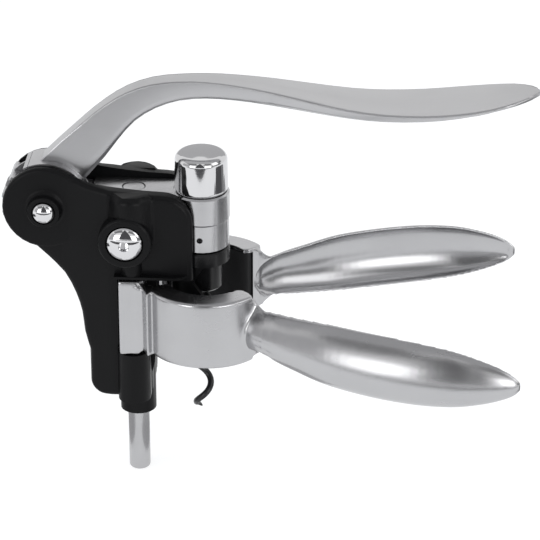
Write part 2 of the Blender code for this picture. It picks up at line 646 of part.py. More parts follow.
def guide_block():
    """Core between the shells, with the bore and the sleeve of the guide rod."""
    half = CORE_HALF_WIDTH
    core = box("guide_block", (CORE_LEFT, CORE_RIGHT), (-half, half), (FOOT_Z + SEAT, CORE_TOP))
    sleeve = cylinder(None, SLEEVE_RADIUS, SLEEVE_LOW, KNUCKLE_LOW - 5.0 * mm, (ROD_X, 0.0))
    beyond = CORE_RIGHT + 1.0 * mm
    below = FOOT_Z - 1.0 * mm
    taper = [(CORE_RIGHT - 0.2 * mm, KNUCKLE_LOW - 3.0 * mm), (CORE_FOOT_RIGHT + 1.0 * mm,
                                                               FOOT_Z + 12.0 * mm),
             (CORE_FOOT_RIGHT, FOOT_Z + 8.0 * mm), (CORE_FOOT_RIGHT, below), (beyond, below),
             (beyond, KNUCKLE_LOW - 3.0 * mm)]
    cut(core, extruded(None, taper, -2 * half, 2 * half))
    join(core, sleeve)
    cutters = []
    for side in (-1, 1):
        cutters.append(box(None, (CORE_LEFT - 1.0 * mm, CORE_RIGHT + 1.0 * mm),
                           (side * CORE_WAIST, side * (half + 1.0 * mm)),
                           (KNUCKLE_LOW - SEAT, KNUCKLE_TOP + SEAT)))
        cutters.append(cylinder(None, DOME_SHANK_RADIUS + SEAT / 2, side * (DOME_SHANK_END - SEAT),
                                side * (half + 1.0 * mm), (RING_BOSS_X, RING_BOSS_Z), 'Y', 12))
    cutters.append(cylinder(None, ROD_RADIUS + SEAT / 2, SLEEVE_LOW - 1.0 * mm, CORE_TOP + 1.0 * mm,
                            (ROD_X, 0.0)))
    cutters.append(cylinder(None, BUSH_RADIUS + SEAT / 2, SLEEVE_LOW - 1.0 * mm, SLEEVE_LOW + BUSH_LENGTH,
                            (ROD_X, 0.0)))
    cut(core, *cutters)
    return finish(core, NYLON)


def ring(name, inner, outer, low, high, mat, at=(0.0, 0.0), axis='Z', steps=16):
    piece = turned(name, [(inner, high), (outer, high), (outer, low), (inner, low)], at, axis, False, steps,
                   True)
    piece.data.materials.append(mat)
    return piece


def hub_axle():
    head = HUB_HEAD
    dome = [(HUB_DOME_RADIUS * math.sin(math.radians(t)), head + HUB_DOME_HEIGHT * math.cos(math.radians(t)))
            for t in (0, 25, 50, 72, 90)]
    dome[0] = (0.0, dome[0][1])
    pin = turned("hub_pin", dome + [(HUB_DOME_RADIUS, head), (HUB_PIN_RADIUS, head),
                                    (HUB_PIN_RADIUS, -head), (0.0, -head)], (HUB_X, HUB_Z), 'Y', True, 20)
    pin.data.materials.append(CHROME)
    seat = head + SEAT
    cap = turned("hub_pin_cap", [(r, z + SEAT) for r, z in dome] + [(HUB_DOME_RADIUS, seat), (0.0, seat)],
                 (HUB_X, HUB_Z), 'Y', False, 20)
    cap.data.materials.append(CHROME)
    near = HUB_HALF_WIDTH + SEAT / 2
    for name, side in (("front_hub_washer", -1), ("rear_hub_washer", 1)):
        low, high = sorted((side * near, side * (near + WASHER_THICK)))
        ring(name, HUB_PIN_RADIUS + SEAT, WASHER_RADIUS, low, high, NYLON, (HUB_X, HUB_Z), 'Y')


def dome_screw(name, side):
    """Large domed screw with a six-sided socket, seated in the ring boss."""
    seat = DOME_SEAT
    dome = [(DOME_RADIUS * math.sin(math.radians(t)), seat + DOME_HEIGHT * math.cos(math.radians(t)))
            for t in (0, 22, 44, 64, 90)]
    dome[0] = (0.0, dome[0][1])
    profile = dome + [(DOME_SHANK_RADIUS, seat), (DOME_SHANK_RADIUS, DOME_SHANK_END), (0.0, DOME_SHANK_END)]
    screw = turned(name, profile, (RING_BOSS_X, RING_BOSS_Z), 'Y', side < 0, 24)
    socket = cylinder(None, SOCKET_RADIUS, side * (seat + 0.6 * mm), side * (seat + 9.0 * mm),
                      (RING_BOSS_X, RING_BOSS_Z), 'Y', 6)
    cut(screw, socket)
    screw.data.materials.append(CHROME)
    return screw


def shell_screw(name, height):
    """Small screw from the rear half into the front one."""
    seat = SHELL_SCREW_SEAT + SEAT
    head = SHELL_SCREW_HEAD
    profile = [(0.0, seat + 1.2 * mm), (head * 0.8, seat + 1.2 * mm), (head, seat + 0.8 * mm), (head, seat),
               (SHELL_SCREW_RADIUS, seat), (SHELL_SCREW_RADIUS, -SHELL_SCREW_DEPTH),
               (0.0, -SHELL_SCREW_DEPTH)]
    at = (SPINE_X + SPINE_WALL / 2, height)
    screw = turned(name, profile, at, 'Y', False, 12)
    slot = 0.3 * mm
    for wide, tall in ((1.0 * mm, slot), (slot, 1.0 * mm)):
        cut(screw, box(None, (at[0] - wide, at[0] + wide), (seat + 0.6 * mm, seat + 3.0 * mm),
                       (height - tall, height + tall)))
    screw.data.materials.append(STEEL)
    return screw


# Nut side

def nut_carrier():
    bore = COIL_RADIUS + WIRE_RADIUS + 0.7 * mm
    profile = [(bore, CARRIER_TOP), (CARRIER_RADIUS - 0.5 * mm, CARRIER_TOP),
               (CARRIER_RADIUS, CARRIER_TOP - 0.5 * mm),
               (CARRIER_RADIUS, CARRIER_LOW), (NECK_RADIUS, CARRIER_LOW), (NECK_RADIUS, NECK_LOW + 0.6 * mm),
               (NECK_RADIUS - 0.6 * mm, NECK_LOW), (bore, NECK_LOW)]
    carrier = turned("nut_carrier", profile, closed=True, steps=24)
    ledge = NUT_LOW + SEAT + NUT_THICK
    cut(carrier, cylinder(None, NUT_RADIUS + SEAT * 1.2, NUT_LOW, CARRIER_TOP + 1.0 * mm, sides=6),
        cylinder(None, RETAINER_RADIUS + SEAT / 2, ledge, CARRIER_TOP + 1.0 * mm, sides=24))
    carrier.data.materials.append(NYLON)
    ring("nut_retainer", bore, RETAINER_RADIUS, ledge + SEAT, ledge + SEAT + RETAINER_THICK, STEEL, steps=18)
    nut = cylinder("drive_nut", NUT_RADIUS, NUT_LOW + SEAT, NUT_LOW + SEAT + NUT_THICK, sides=6)
    pass_through = tube(None, coil_points(NUT_LOW - 3.0 * mm, NUT_LOW + NUT_THICK + 4.0 * mm, 24),
                        WIRE_RADIUS + RUN)
    cut(nut, pass_through)
    finish(nut, BRASS)


def bottle_stop():
    """Plate that carries the nut, with a cup below that meets the bottle's rim, open to the right."""
    plate_low = SKIRT_Z - 1.3 * mm
    far = 2 * BARREL_RADIUS
    stop = cylinder("bottle_stop", STOP_PLATE_RADIUS, plate_low, STOP_PLATE_TOP, sides=32)
    tongue = box(None, (CORE_RIGHT + SEAT, -STOP_PLATE_RADIUS / 2), (-CORE_HALF_WIDTH, CORE_HALF_WIDTH),
                 (SKIRT_Z, STOP_PLATE_TOP - 0.5 * mm))
    cup = cylinder(None, STOP_RADIUS, STOP_RIM_Z, SKIRT_Z - SEAT, sides=32)
    hollow = cylinder(None, STOP_BORE, STOP_RIM_Z - 1.0 * mm, plate_low - 0.8 * mm, sides=28)
    bore = cylinder(None, NECK_RADIUS + SEAT, -far, far, sides=24)
    x, z = STOP_MOUTH
    high, low = STOP_PLATE_TOP + 1.0 * mm, STOP_RIM_Z - 1.0 * mm
    mouth = extruded(None, [(x, z), (x + STOP_MOUTH_SLOPE * (high - z), high), (far, high), (far, low),
                            (x + STOP_MOUTH_SLOPE * (z - low), low)], -far, far)
    join(stop, cup, tongue)
    cut(stop, bore, hollow, mouth)
    return finish(stop, NYLON)


# Worm

def coil_points(low, high, per_turn):
    """Points of the right-handed coil between two heights."""
    count = max(2, round((high - low) / WORM_PITCH * per_turn))
    points = []
    for i in range(count + 1):
        z = low + (high - low) * i / count
        turn = 2 * math.pi * z / WORM_PITCH + math.radians(WORM_PHASE)
        points.append((COIL_RADIUS * math.cos(turn), COIL_RADIUS * math.sin(turn), z))
    return points


def worm():
    flange_top = SHOULDER_Z - PLATE_THICK - 2 * SEAT
    flange_low = flange_top - 4.0 * mm
    coil_low = WORM_TIP + TIP_FLAT
    body = coil_points(coil_low, flange_low + 1.5 * mm, 11)
    turn = 2 * math.pi * coil_low / WORM_PITCH + math.radians(WORM_PHASE)
    tip = []
    for i in range(5, 0, -1):
        share = i / 5
        angle = turn - share * math.radians(62)
        radius = COIL_RADIUS * (1 - 0.28 * share)
        tip.append((radius * math.cos(angle), radius * math.sin(angle), coil_low - TIP_FLAT * share))
    points = tip + body
    radii = [min(1.0, 0.24 + 0.76 * (place[2] - WORM_TIP) / TIP_TAPER) for place in points]
    screw = tube("worm", points, WIRE_RADIUS, radii, 1)
    groove = SPINDLE_RADIUS - 0.5 * mm
    clip = spindle_clip_low()
    head = turned(None, [(0.0, SPINDLE_TOP), (SPINDLE_RADIUS, SPINDLE_TOP),
                         (SPINDLE_RADIUS, clip + PLATE_THICK + SEAT),
                         (groove, clip + PLATE_THICK + SEAT), (groove, clip - SEAT),
                         (SPINDLE_RADIUS, clip - SEAT),
                         (SPINDLE_RADIUS, flange_top), (WORM_FLANGE_RADIUS, flange_top),
                         (WORM_FLANGE_RADIUS, flange_low + 1.0 * mm), (WORM_FLANGE_RADIUS - 1.0 * mm,
                                                                       flange_low),
                         (0.0, flange_low)], steps=20)
    join(screw, head)
    return finish(screw, COATED)


def pocket_floor():
    return BARREL_TOP + 1.6 * mm


def spindle_clip_low():
    return pocket_floor() + PLATE_THICK + 2 * SEAT


def spindle_rings():
    ring("thrust_washer", SPINDLE_RADIUS + SEAT, WORM_FLANGE_RADIUS, SHOULDER_Z - SEAT - PLATE_THICK,
         SHOULDER_Z - SEAT, STEEL, steps=18)
    low = pocket_floor() + SEAT
    ring("spindle_washer", SPINDLE_RADIUS + SEAT, WORM_FLANGE_RADIUS, low, low + PLATE_THICK, STEEL,
         steps=18)
    clip = spindle_clip_low()
    keeper = ring("spindle_ring", SPINDLE_RADIUS - 0.5 * mm + SEAT, SPINDLE_RADIUS + 1.6 * mm, clip,
                  clip + PLATE_THICK - SEAT, STEEL, steps=18)
    slot = SPINDLE_RADIUS * 0.6
    cut(keeper, box(None, (0.0, 10.0 * mm), (-slot, slot), (clip - 1.0 * mm, clip + 2.0 * mm)))


# Carriage

def carriage():
    half = CARRIAGE_HALF_WIDTH
    body = extruded("carriage", rack_outline(), -RACK_HALF_WIDTH, RACK_HALF_WIDTH)
    arm = box(None, (RACK_ROOT + 0.8 * mm, -4.0 * mm), (-half, half), (ARM_LOW, ARM_TOP))
    cut(arm, cylinder(None, COLLAR_RADIUS + SEAT * 1.5, 0.0, BARREL_LOW, sides=36),
        cylinder(None, CAP_RADIUS + RUN, BARREL_TOP, CAP_TOP, sides=36))
    inner = SPIGOT_RADIUS
    cap_boss = CAP_RADIUS - CAP_WALL - SEAT
    barrel = turned(None, [
        (0.0, CAP_TOP - 6.0 * mm), (cap_boss - 0.8 * mm, CAP_TOP - 6.0 * mm), (cap_boss, CAP_TOP - 6.8 * mm),
        (cap_boss, BARREL_TOP), (BARREL_RADIUS - 0.6 * mm, BARREL_TOP),
        (BARREL_RADIUS, BARREL_TOP - 0.6 * mm),
        (BARREL_RADIUS, BARREL_LOW), (inner, BARREL_LOW), (inner, COLLAR_LOW + COLLAR_FLOOR + SEAT),
        (0.0, COLLAR_LOW + COLLAR_FLOOR + SEAT)], steps=28)
    web_gap = box(None, (RACK_LINE - 5.0 * mm, RACK_ROOT), (-WEB_HALF_WIDTH - SEAT, WEB_HALF_WIDTH + SEAT),
                  (RACK_LOW - 1.0 * mm, ARM_TOP + 1.0 * mm))
    join(body, arm, barrel)
    cut(body, web_gap,
        cylinder(None, WORM_BORE, 0.0, SHOULDER_Z, sides=24),
        cylinder(None, SPINDLE_RADIUS + SEAT, 0.0, CAP_TOP, sides=16),
        cylinder(None, WORM_FLANGE_RADIUS + 1.0 * mm, pocket_floor(), CAP_TOP, sides=20),
        cylinder(None, ROD_RADIUS + SEAT, 0.0, CAP_TOP, (ROD_X, 0.0), sides=24),
        cylinder(None, COLLAR_HOLE_RADIUS, -2 * COLLAR_RADIUS, -SPIGOT_RADIUS + 0.5 * mm,
                 (0.0, COLLAR_HOLE_Z), 'Y', 10))
    return finish(body, ZINC)


def guide_rod():
    end = 1.3 * mm
    bottom = [(ROD_RADIUS - end + end * math.cos(math.radians(t)),
               ROD_LOW + end - end * math.sin(math.radians(t)))
              for t in (0, 45, 90)]
    top = ARM_TOP - 0.1 * mm
    rod = turned("guide_rod", [(0.0, top), (ROD_RADIUS - 0.3 * mm, top), (ROD_RADIUS, top - 0.3 * mm)]
                 + bottom + [(0.0, ROD_LOW)], (ROD_X, 0.0), steps=24)
    rod.data.materials.append(STEEL)
    return rod


def chrome_cap():
    low = BARREL_TOP + SEAT
    crown = 0.5 * mm
    edge = [(CAP_TOP_RADIUS - CAP_ROUND + CAP_ROUND * math.sin(math.radians(t)),
             CAP_TOP - crown - CAP_ROUND + CAP_ROUND * math.cos(math.radians(t))) for t in (0, 30, 60, 90)]
    inner = CAP_RADIUS - CAP_WALL
    ceiling = CAP_TOP - 3.2 * mm
    profile = [(0.0, CAP_TOP), (CAP_TOP_RADIUS * 0.45, CAP_TOP - crown * 0.25)] + edge + [
        (CAP_RADIUS, low + 1.2 * mm), (CAP_RADIUS - 0.5 * mm, low), (inner, low), (inner, ceiling),
        (0.0, ceiling)]
    cap = turned("chrome_cap", profile, steps=28)
    cap.data.materials.append(CHROME)
    return cap


def barrel_collar():
    inner = SPIGOT_RADIUS + SEAT
    top = BARREL_LOW - SEAT
    floor = COLLAR_LOW + COLLAR_FLOOR
    lip = COIL_RADIUS + WIRE_RADIUS + 0.8 * mm
    profile = [(inner, top), (COLLAR_RADIUS - 0.3 * mm, top), (COLLAR_RADIUS, top - 0.3 * mm),
               (COLLAR_RADIUS, COLLAR_LOW + 0.5 * mm), (COLLAR_RADIUS - 0.5 * mm, COLLAR_LOW),
               (lip, COLLAR_LOW),
               (lip, floor), (inner, floor)]
    collar = turned("barrel_collar", profile, closed=True, steps=26)
    hole = cylinder(None, COLLAR_HOLE_RADIUS, -2 * COLLAR_RADIUS, -SPIGOT_RADIUS, (0.0, COLLAR_HOLE_Z), 'Y',
                    10)
    cut(collar, hole)
    collar.data.materials.append(ZINC)
    screw = cylinder("collar_screw", COLLAR_HOLE_RADIUS - SEAT / 2, -COLLAR_RADIUS + 1.0 * mm,
                     -SPIGOT_RADIUS + 0.4 * mm, (0.0, COLLAR_HOLE_Z), 'Y', 10)
    socket = cylinder(None, COLLAR_HOLE_RADIUS * 0.5, -2 * COLLAR_RADIUS, -COLLAR_RADIUS + 1.8 * mm,
                      (0.0, COLLAR_HOLE_Z), 'Y', 6)
    cut(screw, socket)
    finish(screw, STEEL)


# Lever

def lever_rings(rows):
    """Rounded sections across the arm, flat on top and softer below."""
    rings = []
    for along_top, up_top, along_low, up_low, width, box_power in rows:
        top = Vector((HUB_X + along_top * LEVER_REACH, 0.0, HUB_Z + up_top * LEVER_RISE))
        low = Vector((HUB_X + along_low * LEVER_REACH, 0.0, HUB_Z + up_low * LEVER_RISE))
        half = max(width * PADDLE_HALF_WIDTH, 0.8 * mm)
        half = max(half, ARM_HALF_WIDTH) if along_top < 0.3 else half
        depth = (low - top).length
        down = (low - top) / depth
        lip = min(1.0 * mm, depth * 0.35)
        points = []
        for share in (-0.94, 0.94):
            points.append(top + Vector((0.0, share * half, 0.0)) + down * (lip * 0.10))
        points.append(top + Vector((0.0, half, 0.0)) + down * lip * 0.45)
        for i in range(8):
            angle = math.pi * i / 7
            power = 2.0 / box_power
            side = math.copysign(abs(math.cos(angle)) ** power, math.cos(angle))
            sink = abs(math.sin(angle)) ** power
            across = Vector((0.0, side * half * 0.985, 0.0))
            points.append(top + across + down * (lip + (depth - lip) * sink))
        points.append(top + Vector((0.0, -half, 0.0)) + down * lip * 0.45)
        rings.append(points)
    return rings


def lever():
    gear = extruded("lever", gear_outline(), -HUB_HALF_WIDTH, HUB_HALF_WIDTH)
    web = cylinder(None, GEAR_RADIUS - 0.15 * mm, -WEB_HALF_WIDTH, WEB_HALF_WIDTH, (HUB_X, HUB_Z), 'Y', 40)
    solid = extruded(None, [(HUB_X, HUB_Z)] + arc(HUB_X, HUB_Z, GEAR_RADIUS - 0.05 * mm, SOLID_FROM,
                                                  SOLID_TO, 14),
                     -HUB_HALF_WIDTH + 0.1 * mm, HUB_HALF_WIDTH - 0.1 * mm)
    arm = loft(None, lever_rings(smooth_rows(LEVER_ROWS, 2)))
    join(gear, web, solid, arm)
    cut(gear, cylinder(None, HUB_PIN_RADIUS + SEAT, -2 * HUB_HALF_WIDTH, 2 * HUB_HALF_WIDTH, (HUB_X, HUB_Z),
                       'Y', 20))
    return finish(gear, ZINC, (HUB_X, 0.0, HUB_Z))


# Handles

def handle_rings(side, rows):
    """Half-round sections of the handle."""
    rings = []
    for reach, face, depth_share, height_share, middle, roundness in rows:
        x = ROD_X + reach * HANDLE_REACH
        y = HINGE_Y + face * HANDLE_DEPTH
        z = middle * HANDLE_HALF_HEIGHT
        points = []
        for i in range(10):
            turn = math.pi * i / 9
            out = max(math.sin(turn), 0.0) ** roundness * depth_share * HANDLE_DEPTH
            up = math.copysign(abs(math.cos(turn)) ** roundness, math.cos(turn))
            points.append(Vector((x, side * (y + out), z + up * height_share * HANDLE_HALF_HEIGHT)))
        rings.append(points)
    return rings


def hollow_rings(side, rows):
    """Sections of the cutter that hollows the handle, with a round end beside the jaw."""
    def at_reach(reach):
        for first, second in zip(rows, rows[1:]):
            if second[0] >= reach:
                share = (reach - first[0]) / (second[0] - first[0])
                return [a + share * (b - a) for a, b in zip(first, second)]

    full = HOLLOW_START + HOLLOW_ROUND
    neck = at_reach(full)[3]
    opening = ((0.0, 0.12), (0.12, 0.48), (0.35, 0.74), (0.7, 0.94))
    sections = [(at_reach(HOLLOW_START + t * HOLLOW_ROUND), opened) for t, opened in opening]
    sections += [(row, 1.0) for row in rows[:-1] if row[0] > full]
    rings = []
    for (reach, face, depth_share, height_share, middle, _), opened in sections:
        height_share = min(height_share, neck) if reach < full else height_share
        x = ROD_X + reach * HANDLE_REACH
        y = HINGE_Y + face * HANDLE_DEPTH
        z = middle * HANDLE_HALF_HEIGHT
        depth = max(depth_share * HANDLE_DEPTH - HANDLE_WALL, 0.25 * mm) * (0.4 + 0.6 * opened)
        half = max(height_share * HANDLE_HALF_HEIGHT - HANDLE_RIM, 0.3 * mm) * opened
        turns = [math.pi * i / 7 for i in range(8)]
        points = [Vector((x, side * (y + depth * math.sin(t)), z + half * math.cos(t))) for t in turns]
        before = side * (y - 2.0 * mm)
        rings.append(points + [Vector((x, before, z - half)), Vector((x, before, z + half))])
    return rings


def beside_jaw(side, start, end, radius, turn):
    """Plan of what is cut from a ring round the screw, from its hinge end round to its handle end."""
    reach = JAW_OUTER * 1.6
    points = [(0.0, 0.0)] + arc(0.0, 0.0, reach, start, 360.0 + end[-1][1] + turn, 12)
    for share, angle in reversed(end):
        t = math.radians(angle + turn)
        points.append((share * radius * math.cos(t), share * radius * math.sin(t)))
    return [(x, side * y) for x, y in points]


def handle(name, side):
    """Casting of one handle. Grip and jaw are modelled closed and swung open, the knuckle stays square."""
    pin = Vector((ROD_X, side * HINGE_Y, 0.0))
    made_before = set(bpy.data.objects)
    rows = smooth_rows(HANDLE_ROWS, 2)
    grip = loft(name, handle_rings(side, rows))
    lip = JAW_LIP_THICK
    edge = 0.8 * mm
    jaw = turned(None, [(PAD_INNER - 1.0 * mm, JAW_TOP), (JAW_OUTER - edge, JAW_TOP),
                        (JAW_OUTER, JAW_TOP - edge),
                        (JAW_OUTER, JAW_LOW + edge), (JAW_OUTER - edge, JAW_LOW),
                        (PAD_INNER - 1.0 * mm, JAW_LOW)], closed=True, steps=40)
    away = extruded(None, beside_jaw(side, JAW_TO, JAW_END, JAW_OUTER, 0.0), JAW_LOW - 1.0 * mm,
                    JAW_TOP + 1.0 * mm, 'Z')
    cut(jaw, away)
    hollow = loft(None, hollow_rings(side, rows[::2]))
    mouth = cylinder(None, JAW_LIP, JAW_LOW - 1.0 * mm, JAW_TOP + 1.0 * mm, sides=36)
    seat = cylinder(None, JAW_SEAT, JAW_LOW + lip, JAW_TOP - lip, sides=36)
    pad = turned(name.replace("handle", "jaw_pad"),
                 [(PAD_INNER, JAW_TOP - lip - SEAT), (JAW_SEAT - SEAT, JAW_TOP - lip - SEAT),
                  (JAW_SEAT - SEAT, JAW_LOW + lip + SEAT), (PAD_INNER, JAW_LOW + lip + SEAT)], closed=True,
                  steps=36)
    pad_plan = beside_jaw(side, JAW_TO - 3.0, PAD_END, PAD_INNER, 0.5)
    cut(pad, extruded(None, pad_plan, JAW_LOW - 1.0 * mm, JAW_TOP + 1.0 * mm, 'Z'))
    pad.data.materials.append(RUBBER)
    swing = (Matrix.Translation(pin) @ Matrix.Rotation(side * math.radians(GRIP_OPEN), 4, 'Z')
             @ Matrix.Translation(-pin))
    for obj in set(bpy.data.objects) - made_before:
        obj.matrix_world = swing @ obj.matrix_basis

    face = HINGE_Y + KNUCKLE_FACE
    knuckle = cylinder(None, KNUCKLE_RADIUS, KNUCKLE_LOW, KNUCKLE_TOP, pin[:2])
    shoulder = ROD_X + 2.2 * mm
    block = extruded(None, [(ROD_X - 4.7 * mm, KNUCKLE_TOP), (shoulder, KNUCKLE_TOP),
                            (shoulder + 2.0 * mm, JAW_TOP),
                            (shoulder + 2.0 * mm, JAW_LOW), (shoulder, KNUCKLE_LOW),
                            (ROD_X - 4.7 * mm, KNUCKLE_LOW)], side * (HINGE_Y - 0.8 * mm), side * face)
    link_plan = [(ROD_X, HINGE_Y - 1.4 * mm), (-21.0 * mm, 10.8 * mm), (-17.2 * mm, 12.0 * mm),
                 (-14.3 * mm, 15.0 * mm), (-15.4 * mm, 20.6 * mm), (-18.3 * mm, 16.9 * mm),
                 (-19.3 * mm, 16.3 * mm),
                 (-20.4 * mm, face - 0.4 * mm), (ROD_X, face - 0.4 * mm)]
    link = extruded(None, [(x, side * y) for x, y in link_plan], JAW_LOW + 0.1 * mm, JAW_TOP - 0.1 * mm, 'Z')
    bore = cylinder(None, HINGE_PIN_RADIUS + SEAT, KNUCKLE_LOW - 1.0 * mm, KNUCKLE_TOP + 1.0 * mm, pin[:2],
                    'Z', 16)
    join(grip, jaw, link, block, knuckle)
    cut(grip, mouth, seat, hollow, bore)
    finish(grip, ZINC)
    hinge = cylinder(name.replace("handle", "hinge_pin"), HINGE_PIN_RADIUS, HINGE_PIN_LOW, HINGE_PIN_TOP,
                     pin[:2], 'Z', 16)
    finish(hinge, STEEL, pin)


def main():
    shell("front_shell", -1)
    shell("rear_shell", 1)
    guide_block()
    ring("sleeve_bush", ROD_RADIUS + SEAT / 2, BUSH_RADIUS, SLEEVE_LOW + 0.2 * mm,
         SLEEVE_LOW + BUSH_LENGTH - SEAT,
         STEEL, (ROD_X, 0.0))
    hub_axle()
    dome_screw("front_dome_screw", -1)
    dome_screw("rear_dome_screw", 1)
    shell_screw("upper_shell_screw", SHELL_SCREW_HEIGHTS[0])
    shell_screw("lower_shell_screw", SHELL_SCREW_HEIGHTS[1])
    nut_carrier()
    bottle_stop()
    lever()
    carriage()
    guide_rod()
    chrome_cap()
    barrel_collar()
    worm()
    spindle_rings()
    handle("front_handle", -1)
    handle("rear_handle", 1)


main()
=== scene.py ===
"""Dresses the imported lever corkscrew: smooth pieces, finishes, plain studio and camera.

The frame is the one of the CAD model: +Z up along the screw, +X to the handles, -Y to the front, metres.
"""
import math

import bmesh
import bpy
from mathutils import Matrix, Vector


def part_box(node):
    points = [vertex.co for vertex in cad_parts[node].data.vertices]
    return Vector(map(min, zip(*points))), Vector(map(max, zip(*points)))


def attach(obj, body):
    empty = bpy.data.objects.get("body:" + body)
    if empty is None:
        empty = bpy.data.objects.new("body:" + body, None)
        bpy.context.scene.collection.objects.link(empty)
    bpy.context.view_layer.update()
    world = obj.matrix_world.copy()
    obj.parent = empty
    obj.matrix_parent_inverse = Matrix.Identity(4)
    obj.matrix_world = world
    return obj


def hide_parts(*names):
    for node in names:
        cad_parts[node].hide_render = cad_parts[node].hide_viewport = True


bl_info = {
    "name": "Lever Corkscrew",
    "version": (1, 0, 0),
    "blender": (4, 5, 0),
    "location": "View3D > Sidebar > Corkscrew",
    "description": "Builds the visible pieces and finishes of a lever corkscrew on its packed frame",
    "category": "Add Mesh",
}

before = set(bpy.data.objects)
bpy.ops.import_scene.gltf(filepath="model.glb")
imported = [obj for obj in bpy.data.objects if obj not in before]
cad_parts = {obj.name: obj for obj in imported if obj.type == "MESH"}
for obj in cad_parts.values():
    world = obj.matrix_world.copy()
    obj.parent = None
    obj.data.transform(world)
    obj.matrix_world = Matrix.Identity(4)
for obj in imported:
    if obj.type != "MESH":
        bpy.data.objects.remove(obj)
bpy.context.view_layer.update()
mm = 0.001


# Sizes and colours

def length(name, text, default, most=0.2):
    """A length that a user can change."""
    return bpy.props.FloatProperty(name=name, description=text, default=default, min=0.0, max=most,
                                   unit='LENGTH', subtype='DISTANCE', precision=5)


def angle(name, text, degrees):
    """An angle that a user can change."""
    return bpy.props.FloatProperty(name=name, description=text, default=math.radians(degrees),
                                   subtype='ANGLE', unit='ROTATION')


def tint(name, text, default):
    """A colour that a user can change."""
    return bpy.props.FloatVectorProperty(name=name, description=text, default=default, size=3,
                                         min=0.0, max=1.0, subtype='COLOR')


class CorkscrewSizes(bpy.types.PropertyGroup):
    """Sizes of the smooth pieces that stand for solids of the frame."""

    cap_round: length("Cap edge", "Radius of the cap's upper edge", 2.8 * mm)
    cap_crown: length("Cap crown", "Rise of the cap's top towards its middle", 0.5 * mm)
    cap_wall: length("Cap wall", "Thickness of the cap's wall", 1.4 * mm)
    dome_rise: length("Dome rise", "Height of the large screws' domes", 3.0 * mm)
    dome_socket: length("Socket", "Radius of the large screws' sockets", 1.9 * mm)
    dome_shank: length("Dome shank", "Radius of the large screws' shanks", 2.0 * mm)
    axle_radius: length("Axle", "Radius of the lever's axle", 2.5 * mm)
    axle_rise: length("Axle dome rise", "Height of the domes on the lever's axle", 2.4 * mm)
    rod_end: length("Rod end", "Radius of the edge at the guide rod's lower end", 1.3 * mm)
    wire_radius: length("Wire", "Radius of the screw's wire", 1.2 * mm)
    coil_radius: length("Coil", "Radius from the screw's axis to the middle of its wire", 2.7 * mm)
    coil_pitch: length("Pitch", "Rise of one turn of the screw", 16.5 * mm)
    coil_phase: angle("Phase", "Turn of the coil at the level of the jaws", 312.0)
    tip_reach: length("Tip", "Height over which the screw's tip turns in and thins", 2.4 * mm)
    grip_reach: length("Handle reach", "From the hinge to a handle's tip", 146.7 * mm, 0.3)
    grip_height: length("Handle half height", "Half of a handle's greatest height", 12.3 * mm)
    grip_depth: length("Handle depth", "Greatest depth of a handle", 8.8 * mm)
    grip_wall: length("Handle wall", "Thickness of a handle's wall", 1.9 * mm)
    grip_rim: length("Handle rim", "Width of the rim round a handle's hollow", 1.0 * mm)
    grip_fine: length("Handle skin", "Side of the small faces of a handle's skin", 0.46 * mm)
    grip_open: angle("Handle opening", "Turn of a handle from the closed grip", 16.67)
    jaw_outer: length("Jaw", "Outer radius of the jaws", 22.8 * mm)
    jaw_seat: length("Pad seat", "Radius behind the rubber pads", 18.2 * mm)
    jaw_mouth: length("Jaw mouth", "Inner radius of the jaws' lips", 14.7 * mm)
    jaw_height: length("Jaw height", "Height of the jaws", 25.8 * mm)
    jaw_edge: length("Jaw edge", "Radius of the jaws' outer edges", 0.8 * mm)


class CorkscrewColours(bpy.types.PropertyGroup):
    """Colours of the finishes and of the stage."""

    nylon: tint("Nylon", "Black moulded body", (0.006, 0.006, 0.0065))
    lever: tint("Lever", "Satin plated lever", (0.49, 0.49, 0.50))
    handle: tint("Handles", "Polished satin handles", (0.47, 0.47, 0.48))
    barrel: tint("Barrel", "Satin plated carriage and barrel", (0.50, 0.50, 0.51))
    chrome: tint("Chrome", "Mirror plated cap and domes", (0.64, 0.64, 0.65))
    steel: tint("Steel", "Ground steel rod and small parts", (0.48, 0.48, 0.49))
    coating: tint("Coating", "Black coating of the screw", (0.012, 0.012, 0.013))
    rubber: tint("Rubber", "Black rubber of the jaw pads", (0.02, 0.02, 0.021))
    brass: tint("Brass", "Brass of the nut", (0.60, 0.44, 0.19))
    floor: tint("Floor", "Floor under the corkscrew", (0.46, 0.46, 0.46))
    dark_card: tint("Dark cards", "Cards that give the bright metal its dark edges", (0.10, 0.10, 0.105))
    grey_card: tint("Grey cards", "Cards that shade the handles", (0.26, 0.26, 0.265))
    pale_card: tint("Pale cards", "Cards that dim the tops and the rod a little", (0.55, 0.55, 0.56))


# Mesh helpers

def middle(node):
    """Middle of a node's box at rest."""
    low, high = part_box(node)
    return (low + high) / 2


def crosswise(node, side=1):
    """Matrix that takes the Z axis to the rear through a node's middle, or with side -1 to the front."""
    centre = middle(node)
    place = Matrix.Translation((centre.x, 0.0, centre.z)) @ Matrix.Rotation(math.radians(-90), 4, 'X')
    return place if side > 0 else place @ Matrix.Rotation(math.pi, 4, 'X')


def quarter(step):
    """Sine and cosine of the angles from 0 to 90 degrees."""
    return [(math.sin(math.radians(turn)), math.cos(math.radians(turn))) for turn in range(0, 91, step)]


def domed(radius, rise, seat):
    """Profile of a dome, from its crown down to its edge at the seat."""
    return [(radius * across, seat + rise * up) for across, up in quarter(6)]


def ring_edges(bm, radius, height, near=0.02 * mm):
    """Edges of the circle that one profile point has left."""
    def on_circle(v):
        return abs(math.hypot(v.co.x, v.co.y) - radius) < near and abs(v.co.z - height) < near

    return [edge for edge in bm.edges if all(on_circle(v) for v in edge.verts)]


